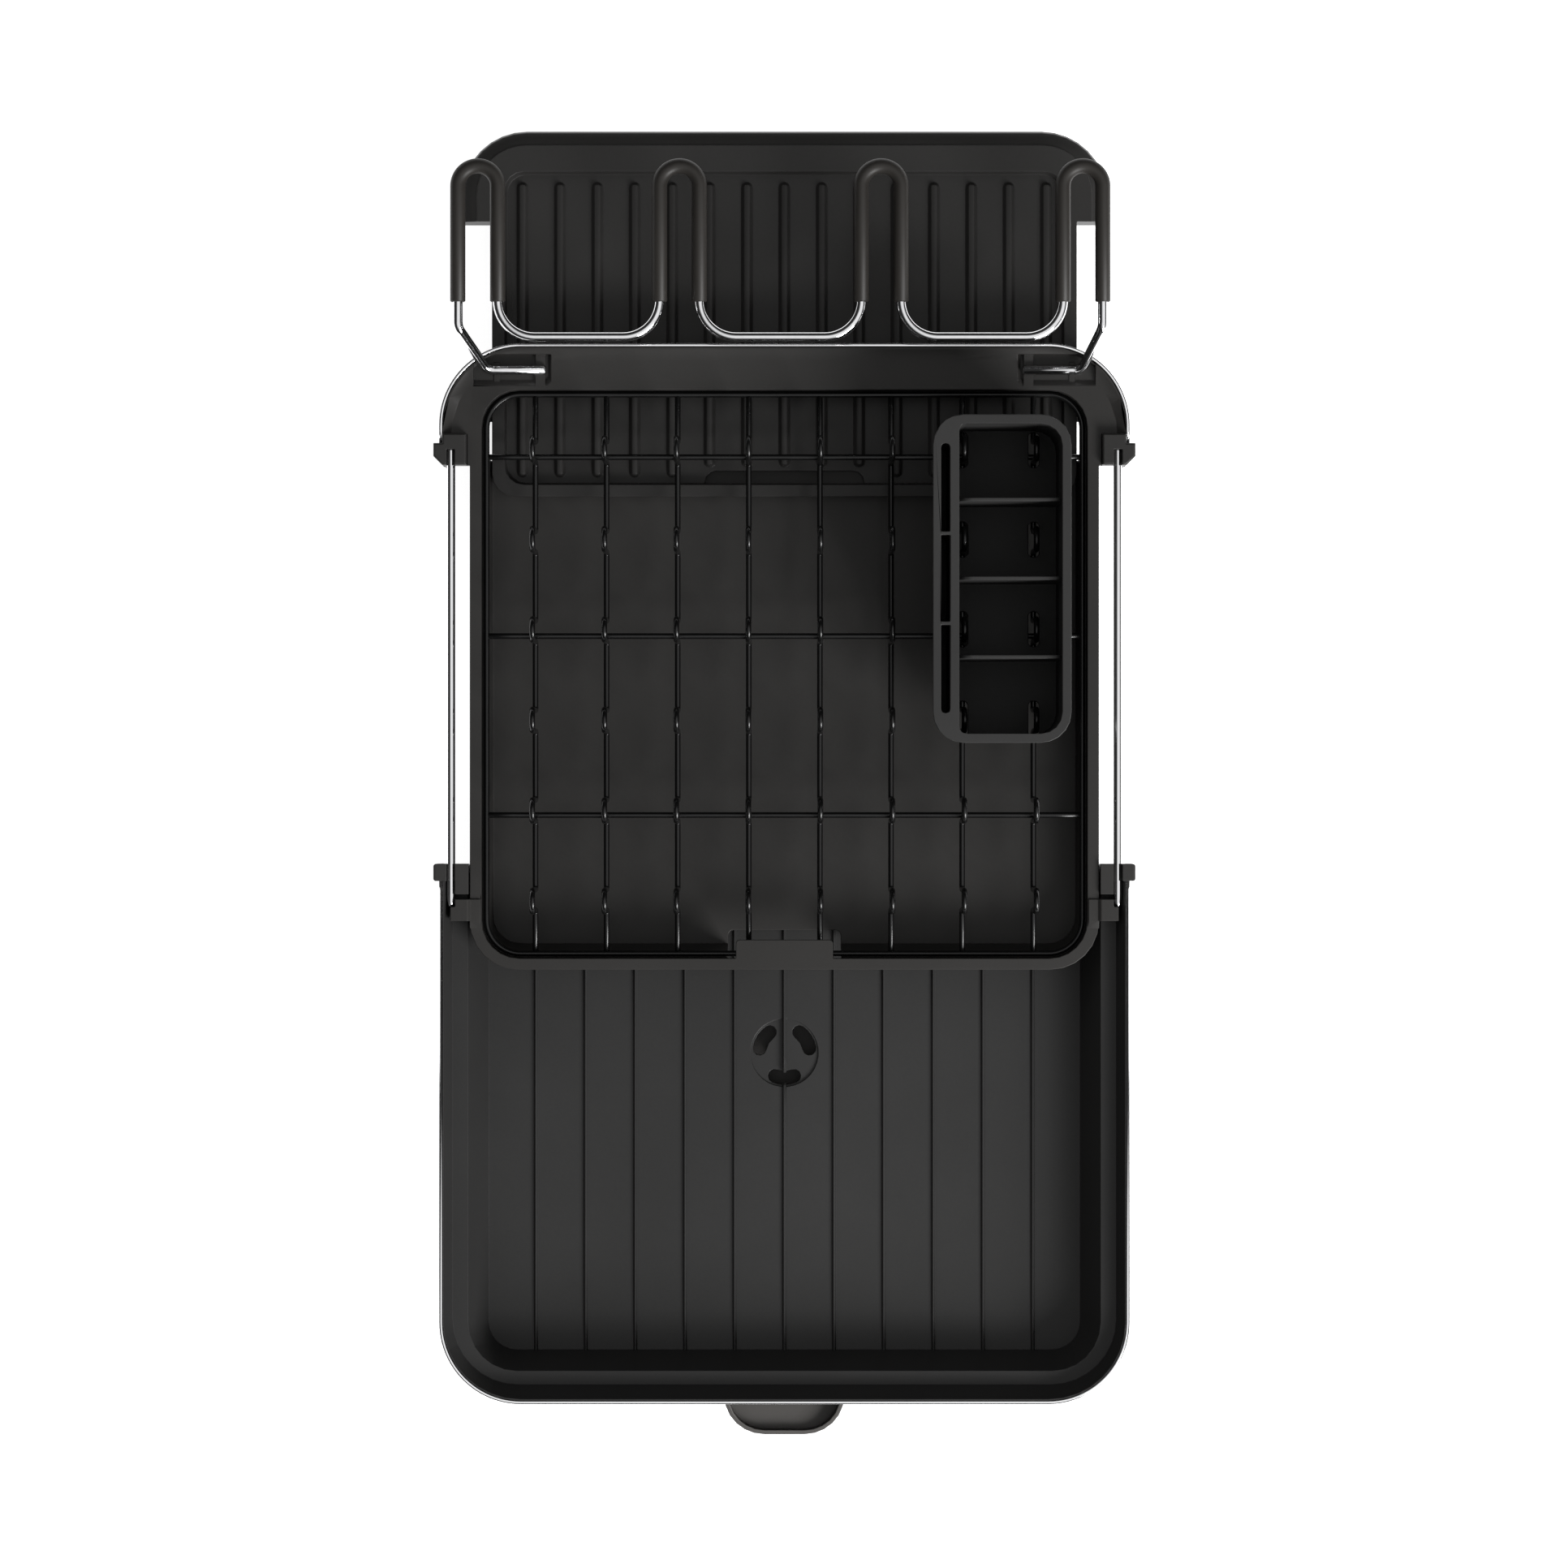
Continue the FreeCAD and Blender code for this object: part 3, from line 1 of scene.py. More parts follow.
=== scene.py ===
import json
import bmesh
import bpy
import numpy as np
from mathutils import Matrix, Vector

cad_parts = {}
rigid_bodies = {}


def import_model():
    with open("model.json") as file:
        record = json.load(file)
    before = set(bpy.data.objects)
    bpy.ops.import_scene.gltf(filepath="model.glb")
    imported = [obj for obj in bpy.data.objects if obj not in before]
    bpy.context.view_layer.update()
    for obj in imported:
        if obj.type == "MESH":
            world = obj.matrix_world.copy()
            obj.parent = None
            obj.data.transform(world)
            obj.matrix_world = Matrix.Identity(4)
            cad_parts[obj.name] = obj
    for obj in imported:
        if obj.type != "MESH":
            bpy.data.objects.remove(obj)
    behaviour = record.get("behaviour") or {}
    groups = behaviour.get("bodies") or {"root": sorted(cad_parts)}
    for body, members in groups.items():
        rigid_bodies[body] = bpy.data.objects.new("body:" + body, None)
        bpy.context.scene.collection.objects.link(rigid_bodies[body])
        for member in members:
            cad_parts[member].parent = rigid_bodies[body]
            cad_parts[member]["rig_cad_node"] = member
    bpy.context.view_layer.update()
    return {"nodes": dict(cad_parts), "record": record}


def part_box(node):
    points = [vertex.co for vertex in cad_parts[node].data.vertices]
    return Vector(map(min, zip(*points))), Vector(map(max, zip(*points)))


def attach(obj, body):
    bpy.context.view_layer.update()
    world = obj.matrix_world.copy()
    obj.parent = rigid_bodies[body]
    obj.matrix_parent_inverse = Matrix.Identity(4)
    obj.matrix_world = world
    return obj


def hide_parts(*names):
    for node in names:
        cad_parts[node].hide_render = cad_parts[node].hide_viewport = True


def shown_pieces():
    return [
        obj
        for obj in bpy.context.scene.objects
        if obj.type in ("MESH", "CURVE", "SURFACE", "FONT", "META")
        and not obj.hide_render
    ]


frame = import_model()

# An expandable dish rack, pulled out to its full length. Lengths below are in millimetres.
mm = 0.001
nodes = frame["nodes"]
slots = {part["node"]: part["material_slot"] for part in frame["record"]["subparts"]}
print("frame loaded:", len(nodes), "nodes")


# Helpers for paths and swept skins
paths = {"closest": 0.05, "perQuarter": 10, "leastCosine": 0.5}


def unit(rows):
    return rows / np.linalg.norm(rows, axis=-1, keepdims=True)


def nodeBox(node):
    return (np.array(corner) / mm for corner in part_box(node))


def bentPath(corners, radii, closed=False, perQuarter=paths["perQuarter"]):
    # straight runs between corners, each corner turned into an arc that touches both runs
    corners = np.asarray(corners, float)
    count = len(corners)
    rows = [] if closed else [corners[:1]]
    for i in range(count) if closed else range(1, count - 1):
        at = corners[i]
        toBefore = unit(corners[i - 1] - at)
        toAfter = unit(corners[(i + 1) % count] - at)
        half = np.arccos(np.clip(toBefore @ toAfter, -1, 1)) / 2
        radius = radii[i] if closed else radii[i - 1]
        centre = at + unit(toBefore + toAfter) * radius / np.sin(half)
        start = unit(at + toBefore * radius / np.tan(half) - centre)
        across = unit(-toBefore - (-toBefore @ start) * start)
        sweep = np.pi - 2 * half
        steps = max(2, int(np.ceil(perQuarter * sweep / (np.pi / 2))))
        turn = np.linspace(0, sweep, steps + 1)[:, None]
        rows.append(centre + radius * (np.cos(turn) * start + np.sin(turn) * across))
    if not closed:
        rows.append(corners[-1:])
    path = np.concatenate(rows)
    apart = np.linalg.norm(np.diff(path, axis=0), axis=1) > paths["closest"]
    return path[np.concatenate([[True], apart])]


def tangents(path, closed):
    # the direction half way between the run before and the run after each point, and how much wider
    # the section is there than across either run
    if closed:
        before = unit(path - np.roll(path, 1, axis=0))
        after = unit(np.roll(path, -1, axis=0) - path)
    else:
        runs = unit(np.diff(path, axis=0))
        before = np.concatenate([runs[:1], runs])
        after = np.concatenate([runs, runs[-1:]])
    mean = unit(before + after)
    stretch = 1 / np.clip(np.sum(mean * after, axis=1), paths["leastCosine"], 1)
    return mean, stretch


def meshPiece(name, points, faces):
    mesh = bpy.data.meshes.new(name)
    mesh.from_pydata((points * mm).tolist(), [], faces)
    mesh.validate()
    mesh.shade_smooth()
    piece = bpy.data.objects.new(name, mesh)
    bpy.context.scene.collection.objects.link(piece)
    return piece


def skin(name, grid, loopU, loopV, capEnds=False):
    # quads between neighbouring points of a grid (u along, v round)
    u, v = grid.shape[:2]
    index = np.arange(u * v).reshape(u, v)
    rows = np.concatenate([index, index[:1]]) if loopU else index
    full = np.concatenate([rows, rows[:, :1]], axis=1) if loopV else rows
    quads = np.stack([full[:-1, :-1], full[1:, :-1], full[1:, 1:], full[:-1, 1:]], axis=-1)
    faces = quads.reshape(-1, 4).tolist()
    if capEnds:
        faces += [index[0].tolist(), index[-1][::-1].tolist()]
    return meshPiece(name, grid.reshape(-1, 3), faces)


def rings(path, radius, reference, sides, closed=False):
    # at each point of a path, a circle square to it: cosine sideways and sine over it; radius is a
    # number or one number for each point
    along, stretch = tangents(path, closed)
    side = unit(np.cross(along, reference))
    over = np.cross(side, along)
    angle = (np.arange(sides) * 2 * np.pi / sides)[None, :, None]
    ring = np.cos(angle) * (side * stretch[:, None])[:, None] + np.sin(angle) * over[:, None]
    return path[:, None] + ring * np.broadcast_to(radius, len(path))[:, None, None]


def wire(name, path, radius, reference, sides, closed=False, roundEnd=0.1):
    # a circle carried along a path; open ends are drawn in to a small rounding and a flat tip
    if not closed:
        ends = [unit(path[1] - path[0]), unit(path[-2] - path[-1])]
        path = np.concatenate([path[:1], path[:1] + ends[0] * radius * roundEnd, path[1:-1],
                               path[-1:] + ends[1] * radius * roundEnd, path[-1:]])
    size = np.full(len(path), radius)
    if not closed:
        size[[0, -1]] = radius * (1 - roundEnd)
    return skin(name, rings(path, size, reference, sides, closed), closed, True, capEnds=not closed)


def place(piece, body, material, slotName, *stoodFor):
    piece.data.materials.clear()
    piece.data.materials.append(material)
    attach(piece, body)
    if stoodFor:
        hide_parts(*stoodFor)
    return piece


# Shader groups
def newGroup(name, inputs, outputs):
    group = bpy.data.node_groups.new(name, "ShaderNodeTree")
    for label, kind, value in inputs:
        made = group.interface.new_socket(label, in_out="INPUT", socket_type=kind)
        if value is not None:
            made.default_value = value
    for label, kind in outputs:
        group.interface.new_socket(label, in_out="OUTPUT", socket_type=kind)
    return group, group.nodes.new("NodeGroupInput"), group.nodes.new("NodeGroupOutput")


def setInput(tree, node, socket, source):
    # a link from another node's output, or a plain value
    if hasattr(source, "is_linked"):
        tree.links.new(source, node.inputs[socket])
    else:
        node.inputs[socket].default_value = source


def addNode(tree, kind, inputs, **settings):
    node = tree.nodes.new(kind)
    for key, value in settings.items():
        setattr(node, key, value)
    for socket, source in inputs.items():
        setInput(tree, node, socket, source)
    return node


def maths(tree, operation, first, second):
    return addNode(tree, "ShaderNodeMath", {0: first, 1: second}, operation=operation).outputs[0]


def noise(tree, vector, scale, detail, rough):
    values = {"Vector": vector, "Scale": scale, "Detail": detail, "Roughness": rough}
    return addNode(tree, "ShaderNodeTexNoise", values).outputs["Fac"]


def spread(tree, value, low, high, newLow, newHigh):
    values = {"Value": value, "From Min": low, "From Max": high, "To Min": newLow, "To Max": newHigh}
    return addNode(tree, "ShaderNodeMapRange", values).outputs[0]


def mixColours(tree, factor, first, second):
    factorSocket, firstSocket, secondSocket, colourOut = 0, 6, 7, 2
    mixed = addNode(tree, "ShaderNodeMix", {}, data_type="RGBA")
    for socket, source in ((factorSocket, factor), (firstSocket, first), (secondSocket, second)):
        setInput(tree, mixed, socket, source)
    return mixed.outputs[colourOut]


grain = {"cloudDetail": 4.0, "cloudRough": 0.55, "cloudLow": 0.3, "cloudHigh": 0.7, "cloudShare": 0.8,
         "fleckScale": 700.0, "fleckDetail": 3.0, "fleckRough": 0.6, "fleckLow": 0.35, "fleckHigh": 0.65,
         "fleckShare": 0.1, "grainDetail": 2.0, "grainRough": 0.6}


def mouldGrainGroup():
    # spark-eroded mould texture: slow cloudy shade, fine grain in height, a little change in roughness
    group, given, out = newGroup("mouldGrain", [
        ("Vector", "NodeSocketVector", None),
        ("Grain Scale", "NodeSocketFloat", 2600.0),
        ("Cloud Scale", "NodeSocketFloat", 9.0),
        ("Roughness Low", "NodeSocketFloat", 0.42),
        ("Roughness High", "NodeSocketFloat", 0.55),
        ("Dark", "NodeSocketColor", (0.02, 0.02, 0.02, 1)),
        ("Light", "NodeSocketColor", (0.04, 0.04, 0.04, 1)),
    ], [("Color", "NodeSocketColor"), ("Roughness", "NodeSocketFloat"), ("Height", "NodeSocketFloat")])
    vector = given.outputs["Vector"]
    cloud = noise(group, vector, given.outputs["Cloud Scale"], grain["cloudDetail"], grain["cloudRough"])
    fine = noise(group, vector, given.outputs["Grain Scale"], grain["grainDetail"], grain["grainRough"])
    fleck = noise(group, vector, grain["fleckScale"], grain["fleckDetail"], grain["fleckRough"])
    shade = spread(group, cloud, grain["cloudLow"], grain["cloudHigh"], 0.0, grain["cloudShare"])
    speck = spread(group, fleck, grain["fleckLow"], grain["fleckHigh"], -grain["fleckShare"],
                   grain["fleckShare"])
    total = maths(group, "ADD", shade, speck)
    colour = mixColours(group, total, given.outputs["Dark"], given.outputs["Light"])
    rough = spread(group, cloud, grain["cloudLow"], grain["cloudHigh"], given.outputs["Roughness Low"],
                   given.outputs["Roughness High"])
    group.links.new(colour, out.inputs["Color"])
    group.links.new(rough, out.inputs["Roughness"])
    group.links.new(fine, out.inputs["Height"])
    return group


polish = {"streakDetail": 3.0, "streakRough": 0.6, "smudgeScale": 35.0, "smudgeDetail": 4.0,
          "smudgeRough": 0.6, "wearLow": 0.1, "wearHigh": 0.5}


def metalPolishGroup():
    # drawn or polished metal: streaks one way, faint smudges, tiny height along the streaks
    group, given, out = newGroup("metalPolish", [
        ("Vector", "NodeSocketVector", None),
        ("Streak Stretch", "NodeSocketVector", (40.0, 40.0, 4000.0)),
        ("Roughness Low", "NodeSocketFloat", 0.08),
        ("Roughness High", "NodeSocketFloat", 0.18),
        ("Dark", "NodeSocketColor", (0.5, 0.5, 0.5, 1)),
        ("Light", "NodeSocketColor", (0.7, 0.7, 0.7, 1)),
    ], [("Color", "NodeSocketColor"), ("Roughness", "NodeSocketFloat"), ("Height", "NodeSocketFloat")])
    vector = given.outputs["Vector"]
    pulled = addNode(group, "ShaderNodeVectorMath", {0: vector, 1: given.outputs["Streak Stretch"]},
                     operation="MULTIPLY").outputs[0]
    streak = noise(group, pulled, 1.0, polish["streakDetail"], polish["streakRough"])
    smudge = noise(group, vector, polish["smudgeScale"], polish["smudgeDetail"], polish["smudgeRough"])
    colour = mixColours(group, streak, given.outputs["Dark"], given.outputs["Light"])
    wear = maths(group, "MULTIPLY", streak, smudge)
    rough = spread(group, wear, polish["wearLow"], polish["wearHigh"], given.outputs["Roughness Low"],
                   given.outputs["Roughness High"])
    group.links.new(colour, out.inputs["Color"])
    group.links.new(rough, out.inputs["Roughness"])
    group.links.new(streak, out.inputs["Height"])
    return group


grainGroup = mouldGrainGroup()
polishGroup = metalPolishGroup()


# Materials
def finish(name, group, groupValues, bumpDepth, **shaderValues):
    # one material: Object coordinates, the shared group, a bump and the shader
    material = bpy.data.materials.new(name)
    material.use_nodes = True
    tree = material.node_tree
    shader = tree.nodes["Principled BSDF"]
    coords = tree.nodes.new("ShaderNodeTexCoord")
    effect = tree.nodes.new("ShaderNodeGroup")
    effect.node_tree = group
    for socket, source in {"Vector": coords.outputs["Object"], **groupValues}.items():
        setInput(tree, effect, socket, source)
    bump = addNode(tree, "ShaderNodeBump", {"Height": effect.outputs["Height"], "Strength": 1.0,
                                            "Distance": bumpDepth * mm})
    tree.links.new(effect.outputs["Color"], shader.inputs["Base Color"])
    tree.links.new(effect.outputs["Roughness"], shader.inputs["Roughness"])
    tree.links.new(bump.outputs["Normal"], shader.inputs["Normal"])
    for label, value in shaderValues.items():
        shader.inputs[label.replace("_", " ")].default_value = value
    return material


def grey(value, warm):
    # a written grey of 0 to 255 as a linear colour, warmed a little towards brown
    linear = ((value / 255 + 0.055) / 1.055) ** 2.4
    return (linear * (1 + warm), linear, linear * (1 - warm), 1)


def coolGrey(level, blue=0.01):
    # the faintly blue grey of steel
    return (level, level, level + blue, 1)


def plastic(name, dark, light, warm, rough, specular, grainDepth=0.012):
    return finish(name, grainGroup, {
        "Dark": grey(dark, warm), "Light": grey(light, warm),
        "Roughness Low": rough[0], "Roughness High": rough[1],
    }, grainDepth, Specular_IOR_Level=specular)


def metal(name, streaks, dark, light, rough, depth):
    return finish(name, polishGroup, {
        "Streak Stretch": streaks, "Dark": coolGrey(dark), "Light": coolGrey(light),
        "Roughness Low": rough[0], "Roughness High": rough[1],
    }, depth, Metallic=1.0)


trayPlastic = plastic("trayPlastic", dark=41, light=47, warm=0.04, rough=(0.36, 0.46), specular=0.16)
basinPlastic = plastic("basinPlastic", dark=41, light=47, warm=0.01, rough=(0.32, 0.42), specular=0.16)
bracketPlastic = plastic("bracketPlastic", dark=41, light=47, warm=0.03, rough=(0.36, 0.46), specular=0.18)
caddyPlastic = plastic("caddyPlastic", dark=46, light=52, warm=0.01, rough=(0.40, 0.50), specular=0.16)
drawerPlastic = plastic("drawerPlastic", dark=40, light=46, warm=0.03, rough=(0.34, 0.44), specular=0.16)
spoutPlastic = plastic("spoutPlastic", dark=64, light=72, warm=0.05, rough=(0.36, 0.46), specular=0.2)
footRubber = plastic("footRubber", dark=26, light=32, warm=0.0, rough=(0.70, 0.85), specular=0.15)
sleeveRubber = plastic("sleeveRubber", dark=36, light=42, warm=0.10, rough=(0.40, 0.52), specular=0.25)
wireCoating = plastic("wireCoating", dark=10, light=15, warm=0.0, rough=(0.20, 0.30), specular=0.36)
bandSteel = metal("bandSteel", streaks=(30.0, 30.0, 3500.0), dark=0.36, light=0.60, rough=(0.10, 0.20),
                  depth=0.003)
rodChrome = metal("rodChrome", streaks=(900.0, 25.0, 900.0), dark=0.70, light=0.84, rough=(0.04, 0.09),
                  depth=0.0006)
railChrome = metal("railChrome", streaks=(300.0, 300.0, 300.0), dark=0.70, light=0.84, rough=(0.06, 0.10),
                   depth=0.0006)
screwSteel = metal("screwSteel", streaks=(1200.0, 1200.0, 1200.0), dark=0.40, light=0.56, rough=(0.22, 0.38),
                   depth=0.003)
# depth, softening and level of the painted highlight along the bands' top edge
bandEdgeHighlight = {"depth": 0.5, "softened": 0.1, "level": 0.86}


def paintedHighlightTopEdge(material, top):
    # brushed faces with a painted highlight along the upper edge: the colour turns lighter within a small
    # depth of the top, standing in for the light that the top edge catches
    tree = material.node_tree
    colourSocket = tree.nodes["Principled BSDF"].inputs["Base Color"]
    brushed = colourSocket.links[0].from_socket
    coords = tree.nodes.new("ShaderNodeTexCoord")
    split = addNode(tree, "ShaderNodeSeparateXYZ", {0: coords.outputs["Object"]})
    start = top - bandEdgeHighlight["depth"] * mm
    highlightMask = spread(tree, split.outputs["Z"], start, start + bandEdgeHighlight["softened"] * mm, 0.0, 1.0)
    tree.links.new(mixColours(tree, highlightMask, brushed, coolGrey(bandEdgeHighlight["level"])), colourSocket)


# the bands' top edge gets a painted highlight: a lighter colour near the top
paintedHighlightTopEdge(bandSteel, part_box("back_band")[1][2])
print("materials made")


# Moulded parts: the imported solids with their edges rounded. cutsAcross and cutsAlong are x and y places
# where a copy is divided, so that no face has to bend round a rib, a hole or a leg.
panelPitch = 19.46
panelRibCount = 15
mouldings = {
    "main_tray": {"body": "main_body", "material": trayPlastic, "edge": 0.45, "cutsAlong": [-55.0, 150.0],
                  "cutsAcross": [-148.0, -126.0, -80.0, -38.0, 0.0, 38.0, 80.0, 126.0, 148.0]},
    "extension_basin": {"body": "extension", "material": basinPlastic, "edge": 0.28,
                        "cutsAlong": [-290.0, -160.0, -120.0, -52.0],
                        "cutsAcross": [-150.0, -65.0, 0.0, 65.0, 150.0]},
    "cutlery_caddy": {"body": "caddy", "material": caddyPlastic, "edge": 0.45,
                      "cutsAcross": [81.55, 92.0, 110.0, 128.8]},
    "drying_drawer": {"body": "drawer", "material": drawerPlastic, "edge": 0.45, "cutsAlong": [165.1, 310.1],
                      "cutsAcross": [panelPitch * (k - panelRibCount // 2) for k in range(panelRibCount)]},
}
for end, body in (("back", "main_body"), ("front", "extension")):
    for side in ("left", "right"):
        mouldings["%s_bracket_%s" % (end, side)] = {"body": body, "material": bracketPlastic, "edge": 0.4}
mouldings["swivel_spout"] = {"body": "spout", "material": spoutPlastic, "edge": 0.6, "cutsAcross": [0.0]}
mouldings["pivot_washer"] = {"body": "extension", "material": bracketPlastic, "edge": 0.2}
mouldings["pivot_screw"] = {"body": "extension", "material": screwSteel, "edge": 0.2}
mouldings["back_bracket_screws"] = {"body": "main_body", "material": screwSteel, "edge": 0.2}
mouldings["front_bracket_screws"] = {"body": "extension", "material": screwSteel, "edge": 0.2}
for row, body in (("rear", "main_body"), ("middle", "extension"), ("front", "extension")):
    for side in ("left", "right"):
        mouldings["%s_foot_%s" % (row, side)] = {"body": body, "material": footRubber, "edge": 0.5}
rounding = {"sharpAngle": 0.56, "segments": 3, "room": 0.42, "merge": 0.002, "flatAngle": 0.01,
            "onPlane": 0.01, "faceWeight": 50}


def mergedCopy(name, cutsAcross=(), cutsAlong=()):
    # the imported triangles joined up, with flat regions made one face each, then cut by upright planes
    work = bmesh.new()
    work.from_mesh(nodes[name].data)
    bmesh.ops.remove_doubles(work, verts=work.verts, dist=rounding["merge"] * mm)
    bmesh.ops.dissolve_limit(work, angle_limit=rounding["flatAngle"], verts=work.verts, edges=work.edges)
    planes = [((x * mm, 0, 0), (1, 0, 0)) for x in cutsAcross]
    planes += [((0, y * mm, 0), (0, 1, 0)) for y in cutsAlong]
    for point, normal in planes:
        everything = work.verts[:] + work.edges[:] + work.faces[:]
        bmesh.ops.bisect_plane(work, geom=everything, dist=rounding["onPlane"] * mm, plane_co=point,
                               plane_no=normal)
    mesh = bpy.data.meshes.new(name + "_moulding")
    work.to_mesh(mesh)
    work.free()
    for label in ("custom_normal", "sharp_edge", "sharp_face"):
        if label in mesh.attributes:
            mesh.attributes.remove(mesh.attributes[label])
    return mesh


def readArray(rows, label, kind, width=1):
    values = np.empty(len(rows) * width, kind)
    rows.foreach_get(label, values)
    return values.reshape(-1, width) if width > 1 else values


def edgeWeights(mesh, width):
    # sharp edges get the full rounding, or as much as the shortest edge that meets them leaves room for
    ends = readArray(mesh.edges, "vertices", np.int32, 2)
    points = readArray(mesh.vertices, "co", np.float32, 3)
    normals = readArray(mesh.polygons, "normal", np.float32, 3)
    faceOfLoop = np.repeat(np.arange(len(mesh.polygons)), readArray(mesh.polygons, "loop_total", np.int32))
    order = np.argsort(readArray(mesh.loops, "edge_index", np.int32), kind="stable")
    pairs = normals[faceOfLoop[order]].reshape(-1, 2, 3)
    sharp = np.sum(pairs[:, 0] * pairs[:, 1], axis=1) < np.cos(rounding["sharpAngle"])
    length = np.linalg.norm(points[ends[:, 0]] - points[ends[:, 1]], axis=1)
    shortest = np.full(len(points), np.inf)
    np.minimum.at(shortest, ends.ravel(), np.repeat(length, 2))
    room = rounding["room"] * np.min(shortest[ends], axis=1)
    return np.where(sharp, np.clip(room / (width * mm), 0, 1), 0).astype(np.float32)


def moulding(name, body, material, edge, **cuts):
    mesh = mergedCopy(name, **cuts)
    weights = mesh.attributes.new("bevel_weight_edge", "FLOAT", "EDGE")
    weights.data.foreach_set("value", edgeWeights(mesh, edge))
    mesh.shade_smooth()
    piece = bpy.data.objects.new(name + "_moulding", mesh)
    bpy.context.scene.collection.objects.link(piece)
    bevel = piece.modifiers.new("edges", "BEVEL")
    bevel.width = edge * mm
    bevel.segments = rounding["segments"]
    bevel.limit_method = "WEIGHT"
    bevel.miter_outer = "MITER_ARC"
    bevel.use_clamp_overlap = False
    bevel.loop_slide = True
    even = piece.modifiers.new("shading", "WEIGHTED_NORMAL")
    even.mode = "FACE_AREA"
    even.weight = rounding["faceWeight"]
    even.keep_sharp = True
    return place(piece, body, material, slots[name], name)


for name, values in mouldings.items():
    moulding(name, **values)
print("mouldings finished:", len(mouldings))


# Rounded crests of the basin's floor ribs
crests = {"count": 11, "pitch": 26.0, "half": 1.0, "height": 1.84, "floor": 28.0, "sunk": 0.1,
          "front": -295.0, "back": -46.2, "drainFront": -155.3, "drainBack": -149.8,
          "pointsAcross": 11, "pointsAlong": 12}


def ribCrest(number, x, front, back):
    # half an ellipse carried straight along a rib, with both ends closed
    turn = np.linspace(0, np.pi, crests["pointsAcross"])
    across = x + crests["half"] * np.cos(turn)
    level = crests["floor"] - crests["sunk"] + (crests["height"] + crests["sunk"]) * np.sin(turn)
    along = np.linspace(front, back, crests["pointsAlong"])
    grid = np.stack(np.broadcast_arrays(across[None, :], along[:, None], level[None, :]), axis=-1)
    piece = skin("rib_crest_%d" % number, grid, False, True, capEnds=True)
    return place(piece, "extension", basinPlastic, slots["extension_basin"])


def ribCrests():
    # the middle rib is in two lengths, either side of the drain
    middle = (crests["count"] - 1) // 2
    for k in range(crests["count"]):
        if k != middle:
            ribCrest(k + 1, (k - middle) * crests["pitch"], crests["front"], crests["back"])
    ribCrest(middle + 1, 0.0, crests["front"], crests["drainFront"])
    ribCrest(crests["count"] + 1, 0.0, crests["drainBack"], crests["back"])


ribCrests()
print("rib crests made")


# Soft ribs of the drawer's panel
panelRibs = {"crest": 1.1, "foot": 3.3, "height": 2.46, "panel": 46.0, "sunk": 0.05, "inset": 2.7,
             "front": 161.1, "frontAtNotch": 166.3, "notchHalf": 46.9, "back": 314.1,
             "levels": 9, "pointsPerEnd": 9}


def panelRib(number, x, front):
    # rings from the foot to the crest of a long ridge; the level follows half a cosine wave
    share = np.linspace(0, 1, panelRibs["levels"])[:, None]
    radius = panelRibs["foot"] + (panelRibs["crest"] - panelRibs["foot"]) * share
    climb = (1 - np.cos(np.pi * share)) / 2
    level = panelRibs["panel"] - panelRibs["sunk"] * (1 - share) + panelRibs["height"] * climb
    turn = np.linspace(0, np.pi, panelRibs["pointsPerEnd"])[None, :]
    across = x + radius * np.concatenate([np.cos(turn), -np.cos(turn)], axis=1)
    along = np.concatenate([panelRibs["back"] - panelRibs["inset"] + radius * np.sin(turn),
                            front + panelRibs["inset"] - radius * np.sin(turn)], axis=1)
    grid = np.stack(np.broadcast_arrays(across, along, level), axis=-1)
    piece = skin("panel_rib_%d" % number, grid, False, True, capEnds=True)
    return place(piece, "drawer", drawerPlastic, slots["drying_drawer"])


for number in range(1, panelRibCount + 1):
    x = (number - (panelRibCount + 1) / 2) * panelPitch
    panelRib(number, x, panelRibs["frontAtNotch" if abs(x) < panelRibs["notchHalf"] else "front"])
print("panel ribs made")


# Steel bands
bands = {"thickness": 1.6, "radius": 42.0, "bevelOut": 0.55, "bevelDown": 0.44, "ease": 0.2, "near": 0.03,
         "perQuarter": 24}


def bevelledCorner(half, top, out, down):
    # a flat bevel between a side and the top; points close to both of its ends keep its shade even
    near = bands["near"]
    first, last = np.array((half, top - down)), np.array((half - out, top))
    slope = unit(last - first)
    return np.array([first - (0, 2 * near), first - (0, near), first + slope * near,
                     first + slope * 2 * near, last - slope * 2 * near, last - slope * near,
                     last - (near, 0)])


def bandPiece(node, forward):
    # a strip on edge round three sides: a bevelled upright section carried round the outline
    low, high = nodeBox(node)
    t = bands["thickness"] / 2
    half = high[0] - t
    openEnd, closedEnd = (low[1], high[1]) if forward else (high[1], low[1])
    line = closedEnd + (-t if forward else t)
    corners = [(half, openEnd, 0), (half, line, 0), (-half, line, 0), (-half, openEnd, 0)]
    path = bentPath(corners, [bands["radius"] - t] * 2, perQuarter=bands["perQuarter"])
    along, stretch = tangents(path, False)
    outward = unit(np.cross(along, (0, 0, 1 if forward else -1)))
    outside = bevelledCorner(t, high[2], bands["bevelOut"], bands["bevelDown"])
    inside = bevelledCorner(t, high[2], bands["ease"], bands["ease"])[::-1] * (-1, 1)
    upper = np.concatenate([outside, inside])
    section = np.concatenate([upper, (upper * (1, -1) + (0, low[2] + high[2]))[::-1]])
    grid = path[:, None] + outward[:, None] * (section[None, :, :1] * stretch[:, None, None])
    grid[:, :, 2] += section[None, :, 1]
    if not forward:
        grid = grid[::-1]
    piece = skin(node + "_strip", grid, False, True, capEnds=True)
    return place(piece, "main_body" if forward else "extension", bandSteel, "band_steel", node)


bandPiece("back_band", True)
bandPiece("front_band", False)
print("bands made")


